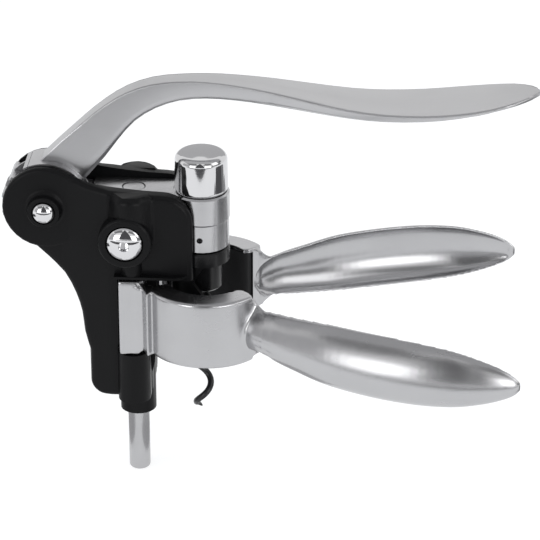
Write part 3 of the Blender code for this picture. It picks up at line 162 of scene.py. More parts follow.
def soften(bm, edges, size, segments=5, clamp=True):
    """Round the given edges."""
    bmesh.ops.bevel(bm, geom=edges, offset=size, offset_type='OFFSET', segments=segments, profile=0.5,
                    affect='EDGES', clamp_overlap=clamp, material=-1)


def spun(profile, steps=96, rounds=(), closed=False):
    """Turn a profile of (radius, height) points round Z and round the corners given with their radii."""
    bm = bmesh.new()
    verts = [bm.verts.new((radius, 0.0, height)) for radius, height in profile]
    edges = [bm.edges.new(pair) for pair in zip(verts, verts[1:])]
    if closed:
        edges.append(bm.edges.new((verts[-1], verts[0])))
    bmesh.ops.spin(bm, geom=verts + edges, cent=(0, 0, 0), axis=(0, 0, 1), dvec=(0, 0, 0),
                   angle=math.tau, steps=steps, use_merge=True, use_normal_flip=False, use_duplicate=False)
    bmesh.ops.remove_doubles(bm, verts=bm.verts, dist=0.001 * mm)
    bmesh.ops.recalc_face_normals(bm, faces=bm.faces)
    for corner, size in rounds:
        soften(bm, ring_edges(bm, *profile[corner]), size)
    return bm


def moved(bm, matrix):
    """The bmesh itself, once the matrix has moved it."""
    bmesh.ops.transform(bm, matrix=matrix, verts=bm.verts)
    return bm


def recast(name, node, flat=0.4):
    """A copy of a solid of the frame, with its triangles merged to whole faces."""
    bm = bmesh.new()
    bm.from_mesh(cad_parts[node].data)
    bmesh.ops.remove_doubles(bm, verts=bm.verts, dist=0.002 * mm)
    bmesh.ops.dissolve_limit(bm, angle_limit=math.radians(flat), verts=bm.verts, edges=bm.edges,
                             use_dissolve_boundaries=False, delimit=set())
    obj = to_object(name, bm)
    for label in ("custom_normal", "sharp_face", "sharp_edge"):
        kept = obj.data.attributes.get(label)
        if kept is not None:
            obj.data.attributes.remove(kept)
    return obj


def ease_edges(obj, size, sharp, where):
    """Round the edges that turn by more than the given degrees and lie in the chosen place."""
    bm = bmesh.new()
    bm.from_mesh(obj.data)
    edges = [edge for edge in bm.edges if len(edge.link_faces) == 2
             and abs(edge.calc_face_angle(0.0)) > math.radians(sharp)
             and all(where(v.co) for v in edge.verts)]
    soften(bm, edges, size, segments=2, clamp=False)
    bm.to_mesh(obj.data)
    bm.free()


def plate(plan, low, high):
    """A flat plan in X and Y with thickness."""
    bm = bmesh.new()
    face = bm.faces.new([bm.verts.new((x, y, low)) for x, y in plan])
    grown = bmesh.ops.extrude_face_region(bm, geom=[face])
    top = [item for item in grown['geom'] if isinstance(item, bmesh.types.BMVert)]
    bmesh.ops.translate(bm, vec=(0.0, 0.0, high - low), verts=top)
    bmesh.ops.recalc_face_normals(bm, faces=bm.faces)
    return bm


def bar(radius, low, high, at=(0.0, 0.0), sides=96, flare=0.0):
    """A bar along Z, for joining or cutting. Its upper end is wider by the flare."""
    bm = bmesh.new()
    bmesh.ops.create_cone(bm, cap_ends=True, segments=sides, radius1=radius, radius2=radius + flare,
                          depth=high - low)
    bmesh.ops.translate(bm, vec=(at[0], at[1], (low + high) / 2), verts=bm.verts)
    return bm


def skinned(rings):
    """Rings of points, bridged one after another and closed at both ends."""
    bm = bmesh.new()
    before = None
    for number, ring in enumerate(rings):
        verts = [bm.verts.new(point) for point in ring]
        edges = [bm.edges.new(pair) for pair in zip(verts, verts[1:] + verts[:1])]
        if before:
            bmesh.ops.bridge_loops(bm, edges=before + edges)
        if number in (0, len(rings) - 1):
            bm.faces.new(verts)
        before = edges
    bmesh.ops.recalc_face_normals(bm, faces=bm.faces)
    return bm


def between(rows, steps):
    """Rows filled in on a smooth curve through the given ones."""
    filled = []
    last = len(rows) - 1
    for number in range(last * steps + 1):
        span = min(number // steps, last - 1)
        t = number / steps - span
        near = rows[max(span - 1, 0)], rows[span], rows[span + 1], rows[min(span + 2, last)]
        filled.append([0.5 * (2 * b + (c - a) * t + (2 * a - 5 * b + 4 * c - d) * t ** 2
                              + (3 * b - a - 3 * c + d) * t ** 3) for a, b, c, d in zip(*near)])
    return filled


def row_at(rows, reach):
    """The row at a place between two of the given rows."""
    for first, second in zip(rows, rows[1:]):
        if second[0] >= reach:
            share = (reach - first[0]) / (second[0] - first[0])
            return [a + share * (b - a) for a, b in zip(first, second)]


def smooth(bm, verts, times):
    """Even out the given points some times over."""
    for _ in range(times):
        bmesh.ops.smooth_vert(bm, verts=verts, factor=0.5, use_axis_x=True, use_axis_y=True, use_axis_z=True)


def to_object(name, bm):
    """A bmesh as an object at the origin, in place of an older one of that name."""
    old = bpy.data.objects.get(name)
    if old is not None:
        bpy.data.objects.remove(old, do_unlink=True)
    mesh = bpy.data.meshes.new(name)
    bm.to_mesh(mesh)
    bm.free()
    obj = bpy.data.objects.new(name, mesh)
    bpy.context.scene.collection.objects.link(obj)
    return obj


def apply_modifiers(obj):
    """Take the result of the object's modifiers as its mesh."""
    bpy.context.view_layer.update()
    ready = obj.evaluated_get(bpy.context.evaluated_depsgraph_get())
    mesh = bpy.data.meshes.new_from_object(ready)
    obj.modifiers.clear()
    obj.data = mesh


def combine(obj, shapes, operation='DIFFERENCE'):
    """Cut some bmeshes out of an object, or join them to it, and remove them."""
    tools = []
    for number, bm in enumerate(shapes):
        tool = to_object("tool_" + str(number), bm)
        step = obj.modifiers.new("combine", 'BOOLEAN')
        step.operation = operation
        step.solver = 'EXACT'
        step.object = tool
        tools.append(tool)
    apply_modifiers(obj)
    for tool in tools:
        bpy.data.objects.remove(tool, do_unlink=True)


def complete(obj, body, finish, stands_for, sharp=38.0):
    """Shade the piece, give its finish, tie it to its body and hide the node it stands for."""
    mesh = obj.data
    mesh.materials.clear()
    mesh.materials.append(bpy.data.materials[finish])
    mesh.shade_smooth()
    mesh.set_sharp_from_angle(angle=math.radians(sharp))
    even = obj.modifiers.new("even_shading", 'WEIGHTED_NORMAL')
    even.keep_sharp = True
    even.weight = 60
    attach(obj, body)
    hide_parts(*stands_for)


# Finishes

# how far handling patches darken the tone, how much of a finish's spread they add to its roughness, and the
# depth of its relief at full strength
HANDLED_TONE = -0.45
HANDLED_ROUGH = 0.8
RELIEF_DEPTH = 0.2 * mm


def add_node(tree, kind, values=None, **settings):
    """A shader node with its settings and the values of its inputs."""
    node = tree.nodes.new('ShaderNode' + kind)
    for name, setting in settings.items():
        setattr(node, name, setting)
    for socket, value in (values or {}).items():
        node.inputs[socket].default_value = value
    return node


def new_group(name, outputs, scale=None):
    """A shader node group that takes a Place, and a Scale where one is given, and puts out values."""
    group = bpy.data.node_groups.new(name, 'ShaderNodeTree')
    group.interface.new_socket(name="Place", in_out='INPUT', socket_type='NodeSocketVector')
    if scale is not None:
        entry = group.interface.new_socket(name="Scale", in_out='INPUT', socket_type='NodeSocketFloat')
        entry.default_value = scale
    for label in outputs:
        group.interface.new_socket(name=label, in_out='OUTPUT', socket_type='NodeSocketFloat')
    return group, group.nodes.new('NodeGroupInput'), group.nodes.new('NodeGroupOutput')


def add_noise(group, given, values, scaled=False):
    """A noise texture at the group's Place, and at its Scale where asked."""
    noise = add_node(group, 'TexNoise', values)
    group.links.new(given.outputs['Place'], noise.inputs['Vector'])
    if scaled:
        group.links.new(given.outputs['Scale'], noise.inputs['Scale'])
    return noise.outputs['Fac']


def grain_group():
    """Fine even grain, as of a moulded or cast skin."""
    group, given, made = new_group("fine_grain", ("Height", "Tone"), 900.0)
    fine = add_noise(group, given, {'Detail': 4.0, 'Roughness': 0.62}, True)
    broad = add_noise(group, given, {'Scale': 38.0, 'Detail': 3.0})
    group.links.new(fine, made.inputs['Height'])
    group.links.new(broad, made.inputs['Tone'])
    return group


def brush_group():
    """Long fine marks of a belt or brush. Place is stretched by the material's Mapping node."""
    group, given, made = new_group("brush_marks", ("Height", "Tone"), 60.0)
    marks = add_noise(group, given, {'Detail': 6.0, 'Roughness': 0.7}, True)
    wide = add_noise(group, given, {'Scale': 9.0, 'Detail': 2.0})
    part = add_node(group, 'Math', {1: 0.4}, operation='MULTIPLY')
    mix = add_node(group, 'Math', {1: 0.6}, operation='MULTIPLY_ADD')
    group.links.new(marks, part.inputs[0])
    group.links.new(wide, mix.inputs[0])
    group.links.new(part.outputs[0], mix.inputs[2])
    group.links.new(marks, made.inputs['Height'])
    group.links.new(mix.outputs[0], made.inputs['Tone'])
    return group


def handling_group():
    """Broad soft patches left by hands and wiping, from 0 to 1."""
    group, given, made = new_group("handling", ("Mask",))
    patches = add_noise(group, given, {'Scale': 26.0, 'Detail': 5.0, 'Distortion': 0.6})
    levels = add_node(group, 'MapRange', {'From Min': 0.42, 'From Max': 0.72})
    group.links.new(patches, levels.inputs['Value'])
    group.links.new(levels.outputs['Result'], made.inputs['Mask'])
    return group


def finish_material(name, colour, metallic, roughness, group, scale, stretch=(1.0, 1.0, 1.0), relief=0.05,
                    tone=0.1, spread=0.06, coat=0.0, specular=0.5, anisotropic=0.0):
    """A finish: grain or brush marks in colour, roughness and relief, and broad handling patches."""
    mat = bpy.data.materials.get(name) or bpy.data.materials.new(name)
    mat.use_nodes = True
    tree = mat.node_tree
    for node in [n for n in tree.nodes if n.type not in {'BSDF_PRINCIPLED', 'OUTPUT_MATERIAL'}]:
        tree.nodes.remove(node)
    shader = next(n for n in tree.nodes if n.type == 'BSDF_PRINCIPLED')
    for socket, value in (('Metallic', metallic), ('Specular IOR Level', specular), ('Coat Weight', coat),
                          ('Coat Roughness', 0.12), ('Anisotropic', anisotropic)):
        shader.inputs[socket].default_value = value
    darker = (*[c * (1.0 - tone) for c in colour], 1.0)
    lighter = (*[min(1.0, c * (1.0 + tone)) for c in colour], 1.0)
    place = add_node(tree, 'TexCoord')
    mapping = add_node(tree, 'Mapping', {'Scale': stretch})
    marks = add_node(tree, 'Group', {'Scale': scale}, node_tree=group)
    hands = add_node(tree, 'Group', node_tree=bpy.data.node_groups["handling"])
    blend = add_node(tree, 'Math', {1: HANDLED_TONE}, operation='MULTIPLY_ADD')
    shade = add_node(tree, 'Mix', {'A': darker, 'B': lighter}, data_type='RGBA')
    rough = add_node(tree, 'MapRange', {'To Min': max(0.01, roughness - spread),
                                        'To Max': roughness + spread})
    worn = add_node(tree, 'Math', {1: spread * HANDLED_ROUGH}, operation='MULTIPLY_ADD')
    bump = add_node(tree, 'Bump', {'Strength': relief, 'Distance': RELIEF_DEPTH})
    for source, target in ((place.outputs['Object'], mapping.inputs['Vector']),
                           (place.outputs['Object'], hands.inputs['Place']),
                           (mapping.outputs['Vector'], marks.inputs['Place']),
                           (hands.outputs['Mask'], blend.inputs[0]),
                           (marks.outputs['Tone'], blend.inputs[2]),
                           (blend.outputs[0], shade.inputs['Factor']),
                           (shade.outputs['Result'], shader.inputs['Base Color']),
                           (marks.outputs['Tone'], rough.inputs['Value']),
                           (hands.outputs['Mask'], worn.inputs[0]),
                           (rough.outputs['Result'], worn.inputs[2]),
                           (worn.outputs[0], shader.inputs['Roughness']),
                           (marks.outputs['Height'], bump.inputs['Height']),
                           (bump.outputs['Normal'], shader.inputs['Normal'])):
        tree.links.new(source, target)


NODE_FINISH = {
    "black_nylon": ("front_shell", "rear_shell", "guide_block", "bottle_stop", "front_hub_washer",
                    "rear_hub_washer"),
    "glossy_nylon": ("nut_carrier",),
    "satin_lever": ("lever",),
    "polished_grip": ("front_handle", "rear_handle"),
    "satin_barrel": ("carriage", "barrel_collar"),
    "mirror_plate": ("hub_pin", "hub_pin_cap", "front_dome_screw", "rear_dome_screw", "chrome_cap"),
    "ground_steel": ("guide_rod", "sleeve_bush", "front_hinge_pin", "rear_hinge_pin", "nut_retainer",
                     "upper_shell_screw", "lower_shell_screw", "thrust_washer", "spindle_washer",
                     "spindle_ring"),
    "screw_coating": ("worm", "collar_screw"),
    "pad_rubber": ("front_jaw_pad", "rear_jaw_pad"),
    "plain_brass": ("drive_nut",),
}


class CORKSCREW_OT_finishes(bpy.types.Operator):
    """Make the finishes and give each solid of the frame its own"""

    bl_idname = "corkscrew.finishes"
    bl_label = "Finishes"

    def execute(self, context):
        tints = context.scene.corkscrew_colours
        grain = grain_group()
        brush = brush_group()
        handling_group()
        finish_material("black_nylon", tints.nylon, 0.0, 0.35, grain, 1500.0, relief=0.10, tone=0.15,
                        spread=0.05, specular=0.13)
        finish_material("glossy_nylon", tints.nylon, 0.0, 0.22, grain, 1500.0, relief=0.03, spread=0.04,
                        specular=0.35)
        finish_material("satin_lever", tints.lever, 1.0, 0.33, brush, 420.0, (0.25, 1.0, 1.0), relief=0.08,
                        tone=0.07, spread=0.05, anisotropic=0.3)
        finish_material("polished_grip", tints.handle, 1.0, 0.24, brush, 300.0, (0.12, 1.0, 1.0), tone=0.06,
                        spread=0.05, anisotropic=0.3)
        finish_material("satin_barrel", tints.barrel, 1.0, 0.24, brush, 240.0, (1.0, 1.0, 6.0), relief=0.04,
                        tone=0.05, spread=0.05)
        finish_material("mirror_plate", tints.chrome, 1.0, 0.06, grain, 700.0, relief=0.012, tone=0.03,
                        spread=0.02)
        finish_material("ground_steel", tints.steel, 1.0, 0.20, brush, 500.0, (1.0, 1.0, 0.05), relief=0.20,
                        tone=0.22, spread=0.07)
        finish_material("screw_coating", tints.coating, 0.0, 0.28, grain, 1200.0, relief=0.06, coat=0.15,
                        specular=0.3)
        finish_material("pad_rubber", tints.rubber, 0.0, 0.62, grain, 1300.0, relief=0.25, tone=0.2,
                        specular=0.25)
        finish_material("plain_brass", tints.brass, 1.0, 0.30, grain, 800.0, tone=0.08)
        for finish, names in NODE_FINISH.items():
            for name in names:
                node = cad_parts[name]
                node.data.materials.clear()
                node.data.materials.append(bpy.data.materials[finish])
        return {'FINISHED'}


# Body, lever and carriage

# the lever's edges are eased on the arm and the paddle, which lie right of and above this place, where they
# turn by more than these degrees
LEVER_EASED = Vector((-45.0 * mm, 0.0, 30.0 * mm))
LEVER_SHARP = 30.0
LEVER_EASE = 0.4 * mm
# the cap: how much narrower it is at its top, the thickness of its top, and the points of its lower edge, in
# from the wall and up from the foot
CAP_TAPER = 0.2 * mm
CAP_TOP = 3.2 * mm
CAP_HEM = ((0.0, 1.3 * mm), (0.12 * mm, 0.7 * mm), (0.5 * mm, 0.0))
# the six-sided hole and the flared mouth of a domed screw's socket: lower and upper end above the dome's
# seat, and radius and flare as shares of the socket's radius
HOLE_LOW = -0.8 * mm
HOLE_HIGH = 7.2 * mm
HOLE_SHARE = 0.82
MOUTH_LOW = 1.8 * mm
MOUTH_HIGH = 4.2 * mm
MOUTH_SHARE = 0.95
MOUTH_FLARE = 0.20
# radius of the edge at the guide rod's upper end
ROD_TOP_EDGE = 0.3 * mm


class CORKSCREW_OT_walls(bpy.types.Operator):
    """Mould the two side walls of the body"""

    bl_idname = "corkscrew.walls"
    bl_label = "Body walls"

    def execute(self, context):
        for name, node in (("front_wall", "front_shell"), ("rear_wall", "rear_shell")):
            complete(recast(name, node), "frame", "black_nylon", [node], sharp=50.0)
        return {'FINISHED'}


class CORKSCREW_OT_core(bpy.types.Operator):
    """Mould the core between the walls, the bottle stop and the ring under the barrel"""

    bl_idname = "corkscrew.core"
    bl_label = "Core"

    def execute(self, context):
        for name, node, finish in (("core_block", "guide_block", "black_nylon"),
                                   ("neck_stop", "bottle_stop", "black_nylon"),
                                   ("nut_ring", "nut_carrier", "glossy_nylon")):
            complete(recast(name, node), "frame", finish, [node], sharp=42.0)
        return {'FINISHED'}


class CORKSCREW_OT_lever(bpy.types.Operator):
    """Cast the lever with its toothed hub"""

    bl_idname = "corkscrew.lever"
    bl_label = "Lever"

    def execute(self, context):
        casting = recast("lever_casting", "lever")
        ease_edges(casting, LEVER_EASE, LEVER_SHARP,
                   lambda place: place.x > LEVER_EASED.x and place.z > LEVER_EASED.z)
        complete(casting, "lever", "satin_lever", ["lever"], sharp=34.0)
        return {'FINISHED'}


class CORKSCREW_OT_carriage(bpy.types.Operator):
    """Cast the carriage with its rack and barrel, and the barrel's lower band"""

    bl_idname = "corkscrew.carriage"
    bl_label = "Carriage"

    def execute(self, context):
        for name, node in (("carriage_casting", "carriage"), ("barrel_band", "barrel_collar")):
            complete(recast(name, node), "carriage", "satin_barrel", [node], sharp=40.0)
        return {'FINISHED'}


class CORKSCREW_OT_cap(bpy.types.Operator):
    """Turn the mirror cap that closes the barrel"""

    bl_idname = "corkscrew.cap"
    bl_label = "Cap"

    def execute(self, context):
        sizes = context.scene.corkscrew_sizes
        low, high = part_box("chrome_cap")
        radius = (high.x - low.x) / 2
        inside = radius - sizes.cap_wall
        flat = radius - CAP_TAPER - sizes.cap_round
        shoulder = high.z - sizes.cap_crown - sizes.cap_round
        ceiling = high.z - CAP_TOP
        profile = [(flat * share, high.z - sizes.cap_crown * share ** 2) for share in (0.0, 0.25, 0.5, 0.75)]
        profile += [(flat + sizes.cap_round * across, shoulder + sizes.cap_round * up)
                    for across, up in quarter(9)]
        profile += [(radius - inwards, low.z + rise) for inwards, rise in CAP_HEM]
        profile += [(inside, low.z), (inside, ceiling), (0.0, ceiling)]
        complete(to_object("cap_cup", spun(profile, 144)), "carriage", "mirror_plate",
                 ["chrome_cap"])
        return {'FINISHED'}


class CORKSCREW_OT_domes(bpy.types.Operator):
    """Turn the large domed screws of the round bosses"""

    bl_idname = "corkscrew.domes"
    bl_label = "Domed screws"

    def execute(self, context):
        sizes = context.scene.corkscrew_sizes
        socket, shank = sizes.dome_socket, sizes.dome_shank
        for name, node, side in (("front_dome", "front_dome_screw", -1), ("rear_dome", "rear_dome_screw", 1)):
            low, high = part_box(node)
            inner, outer = sorted((abs(low.y), abs(high.y)))
            seat = outer - sizes.dome_rise
            profile = domed((high.x - low.x) / 2, sizes.dome_rise, seat)
            profile += [(shank, seat), (shank, inner), (0.0, inner)]
            dome = to_object(name, spun(profile))
            combine(dome, [bar(HOLE_SHARE * socket, seat + HOLE_LOW, seat + HOLE_HIGH, sides=6),
                           bar(MOUTH_SHARE * socket, seat + MOUTH_LOW, seat + MOUTH_HIGH, sides=36,
                               flare=MOUTH_FLARE * socket)])
            dome.data.transform(crosswise(node, side))
            complete(dome, "frame", "mirror_plate", [node])
        return {'FINISHED'}


class CORKSCREW_OT_axle(bpy.types.Operator):
    """Turn the lever's axle with its domed head, and the domed cap on its other end"""

    bl_idname = "corkscrew.axle"
    bl_label = "Lever axle"

    def execute(self, context):
        sizes = context.scene.corkscrew_sizes
        low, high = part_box("hub_pin")
        radius = (high.x - low.x) / 2
        head = -low.y - sizes.axle_rise
        pin = domed(radius, sizes.axle_rise, head)
        pin += [(sizes.axle_radius, head), (sizes.axle_radius, -high.y), (0.0, -high.y)]
        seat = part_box("hub_pin_cap")[0].y
        cap = domed(radius, sizes.axle_rise, seat) + [(0.0, seat)]
        for name, node, profile, side in (("axle", "hub_pin", pin, -1), ("axle_cap", "hub_pin_cap", cap, 1)):
            complete(to_object(name, moved(spun(profile, 72), crosswise("hub_pin", side))), "frame",
                     "mirror_plate", [node])
        return {'FINISHED'}


class CORKSCREW_OT_rod(bpy.types.Operator):
    """Turn the guide rod"""

    bl_idname = "corkscrew.rod"
    bl_label = "Guide rod"

    def execute(self, context):
        low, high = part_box("guide_rod")
        centre = middle("guide_rod")
        radius = (high.x - low.x) / 2
        profile = [(0.0, high.z), (radius, high.z), (radius, low.z), (0.0, low.z)]
        bm = spun(profile, 72, [(1, ROD_TOP_EDGE), (2, context.scene.corkscrew_sizes.rod_end)])
        moved(bm, Matrix.Translation((centre.x, centre.y, 0.0)))
        complete(to_object("rod", bm), "carriage", "ground_steel", ["guide_rod"])
        return {'FINISHED'}


# Screw

# radius and height above the flange's lower face of each step of the head: spindle, groove, spindle, flange
HEAD_STEPS = ((2.5, 19.9), (2.5, 16.0), (2.0, 16.0), (2.0, 15.0), (2.5, 15.0), (2.5, 4.0), (4.5, 4.0),
              (4.5, 1.0), (3.5, 0.0))
HEAD_HEIGHT = HEAD_STEPS[0][1] * mm
# how far the wire reaches into the flange
WIRE_INTO_HEAD = 1.5 * mm
WIRE_SIDES = 20
WIRE_STEPS_A_TURN = 48
# the tip: its steps, how far it turns, the share of the coil's radius that it loses, its end's share of the
# wire's thickness, and how quickly it thins
TIP_STEPS = 14
TIP_TURN = math.radians(62)
TIP_INWARDS = 0.28
TIP_END = 0.20
TIP_POWER = 0.8


class CORKSCREW_OT_screw(bpy.types.Operator):
    """Wind the coated screw, point its tip and turn its head"""

    bl_idname = "corkscrew.screw"
    bl_label = "Screw"

    def execute(self, context):
        sizes = context.scene.corkscrew_sizes
        low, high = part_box("worm")
        foot = high.z - HEAD_HEIGHT
        start = low.z + sizes.tip_reach
        turn = math.tau * start / sizes.coil_pitch + sizes.coil_phase
        bm = bmesh.new()
        lower_end = self.wind(bm, sizes, start, foot + WIRE_INTO_HEAD, turn)
        self.point(bm, sizes, lower_end, start, turn)
        bmesh.ops.recalc_face_normals(bm, faces=bm.faces)
        screw = to_object("screw_coil", bm)
        head = [(radius * mm, foot + rise * mm) for radius, rise in HEAD_STEPS]
        combine(screw, [spun([(0.0, high.z)] + head + [(0.0, foot)], 48)], 'UNION')
        complete(screw, "worm", "screw_coating", ["worm"], sharp=44.0)
        return {'FINISHED'}

    def wind(self, bm, sizes, start, top, turn):
        """Wind the wire upwards, close its upper end and give the edges of its lower end."""
        ring, pitch = sizes.coil_radius, sizes.coil_pitch
        lean = math.atan2(pitch, math.tau * ring)
        place = (Matrix.Rotation(turn, 4, 'Z') @ Matrix.Translation((ring, 0.0, start))
                 @ Matrix.Rotation(lean, 4, 'X') @ Matrix.Rotation(math.pi / 2, 4, 'X'))
        circle = bmesh.ops.create_circle(bm, segments=WIRE_SIDES, radius=sizes.wire_radius, cap_ends=False)
        bmesh.ops.transform(bm, matrix=place, verts=circle['verts'])
        first = list(bm.edges)
        steps = round((top - start) / pitch * WIRE_STEPS_A_TURN)
        swept = bmesh.ops.spin(bm, geom=list(bm.verts) + first, cent=(0, 0, 0), axis=(0, 0, 1),
                               dvec=(0, 0, (top - start) / steps), angle=math.tau * (top - start) / pitch,
                               steps=steps, use_merge=False, use_normal_flip=False, use_duplicate=False)
        last = [item for item in swept['geom_last'] if isinstance(item, bmesh.types.BMEdge)]
        bmesh.ops.edgeloop_fill(bm, edges=last)
        return first

    def point(self, bm, sizes, edges, start, turn):
        """Draw the wire's lower end inwards to a thin tip."""
        for number in range(1, TIP_STEPS + 1):
            share = number / TIP_STEPS
            bearing = turn - share * TIP_TURN
            reach = sizes.coil_radius * (1 - TIP_INWARDS * share)
            drop = start - sizes.tip_reach * share
            aim = Vector((reach * math.cos(bearing), reach * math.sin(bearing), drop))
            thin = min(1.0, TIP_END + (1.0 - TIP_END) * (1.0 - share) ** TIP_POWER)
            grown = bmesh.ops.extrude_edge_only(bm, edges=edges)
            verts = [item for item in grown['geom'] if isinstance(item, bmesh.types.BMVert)]
            edges = [item for item in grown['geom'] if isinstance(item, bmesh.types.BMEdge)
                     and all(v in verts for v in item.verts)]
            old = sum((v.co for v in verts), Vector()) / len(verts)
            size = sum((v.co - old).length for v in verts) / len(verts)
            step = (Matrix.Translation(aim) @ Matrix.Rotation(-TIP_TURN / TIP_STEPS, 4, 'Z')
                    @ Matrix.Scale(sizes.wire_radius * thin / size, 4) @ Matrix.Translation(-old))
            bmesh.ops.transform(bm, matrix=step, verts=verts)
        bmesh.ops.edgeloop_fill(bm, edges=edges)


# Handles

# each row is a section of the handle: share of the reach, inner face and depth as shares of the handle's
# depth, half height and middle as shares of its half height, and roundness, where 1 is a half ellipse and a
# smaller value is boxier
GRIP_ROWS = (
    (0.2650, -0.7500, 0.300, 0.330, -1.0900, 1.00),
    (0.2900, -0.7045, 0.660, 0.530, -1.0900, 1.00),
    (0.3100, -0.6318, 0.850, 0.615, -1.0880, 1.00),
    (0.3300, -0.5568, 0.915, 0.650, -1.0860, 1.00),
    (0.3480, -0.4545, 0.920, 0.672, -1.0860, 1.00),
    (0.3650, -0.3523, 0.912, 0.695, -1.0894, 1.00),
    (0.3850, -0.2500, 0.920, 0.745, -1.1098, 0.97),
    (0.4350, -0.0227, 0.930, 0.825, -1.1382, 1.00),
    (0.5250, 0.3114, 0.977, 0.951, -1.1667, 1.00),
    (0.6400, 0.5045, 1.006, 0.988, -1.1959, 1.00),
    (0.7470, 0.5386, 0.971, 0.969, -1.2171, 1.00),
    (0.8400, 0.4500, 0.860, 0.872, -1.2390, 1.00),
    (0.9080, 0.3193, 0.660, 0.691, -1.2593, 1.00),
    (0.9560, 0.2000, 0.460, 0.493, -1.2715, 1.00),
    (0.9850, 0.1205, 0.270, 0.303, -1.2911, 1.00),
    (1.0000, 0.0795, 0.090, 0.114, -1.2967, 1.00),
)
# the same for the web between the jaw and the handle
WEB_ROWS = (
    (0.2550, -0.7500, 0.330, 1.022, -1.0285, 0.30),
    (0.2900, -0.7045, 0.300, 0.985, -1.0366, 0.30),
    (0.3150, -0.6136, 0.260, 0.870, -1.0813, 0.35),
    (0.3300, -0.5568, 0.260, 0.735, -1.0854, 0.45),
    (0.3480, -0.4545, 0.300, 0.652, -1.0772, 0.60),
    (0.3650, -0.3523, 0.360, 0.640, -1.0894, 0.80),
)
# steps between two rows, points of a half-round section, how much fuller the section is below its middle, and
# the factor that keeps its depth
ROW_STEPS = 5
GRIP_POINTS = 32
GRIP_LEAN = 0.25
GRIP_FULL = 0.955
# the hollow: the share of the reach where it starts, the share over which its end is rounded, the steps of
# that round and how far into the first one its first section stands, and the points of a section
HOLLOW_FROM = 0.290
HOLLOW_ROUND = 0.095
HOLLOW_STEPS = 15
HOLLOW_FIRST = 0.25
HOLLOW_POINTS = 24
# the share of its depth at that end, its least depth and half height, and how far its cutter stands out of it
HOLLOW_END = 0.08
HOLLOW_DEEP = 0.25 * mm
HOLLOW_HALF = 0.3 * mm
HOLLOW_PAST = 2.5 * mm
# outline of a jaw's handle end in plan: share of the outer radius, degrees round the screw's axis
JAW_END = ((0.645, 33.9), (0.632, 27.3), (0.656, 21.6), (0.728, 17.9), (0.832, 18.4), (0.967, 21.6),
           (1.177, 26.6), (1.6, 31.4))
# degrees round the screw's axis where a jaw's hinge end lies, the steps of the plan round the ring, and the
# metal left inside the mouth until it is bored
JAW_HINGE_TURN = 142.0
JAW_STEPS = 12
JAW_SPARE = 1.5 * mm
# height of the lips above and below the rubber pads
PAD_LIP = 1.5 * mm
# the link from the jaw to the hinge block in plan, in mm, and how far it stays inside the jaw and the block
LINK_PLAN = ((-21.0, 10.8), (-17.2, 12.0), (-14.3, 15.0), (-15.4, 20.6), (-18.3, 16.9), (-19.3, 16.3))
LINK_START = 10.6 * mm
LINK_END = -20.4 * mm
LINK_SUNK = 0.4 * mm
LINK_SHORT = 0.1 * mm
# the hinge block round the pin: its sides to the left, right, outside and inside of the pin's axis, how much
# wider it is beside the jaw, its foot, and the radii of the round knuckle and of the pin's bore
BLOCK_LEFT = 4.7 * mm
BLOCK_RIGHT = 2.2 * mm
BLOCK_OUTSIDE = 5.3 * mm
BLOCK_INSIDE = 0.8 * mm
BLOCK_STEP = 2.0 * mm
BLOCK_FOOT = -27.6 * mm
KNUCKLE = 5.1 * mm
PIN_BORE = 2.3 * mm
# how far a cutter reaches past what it cuts
PAST = 1.0 * mm
# the handle's root, which is smoothed into the jaw: its range in x and z and its limit towards the other
# handle, with the handle closed, how far outside the pad's seat it starts, and the number of smoothings of
# the root and of the whole skin
ROOT_X = (14.5 * mm, 26.5 * mm)
ROOT_Z = (-24.0 * mm, -2.4 * mm)
ROOT_Y = -2.0 * mm
ROOT_OUTSIDE = 2.5 * mm
ROOT_TIMES = 22
SKIN_TIMES = 6


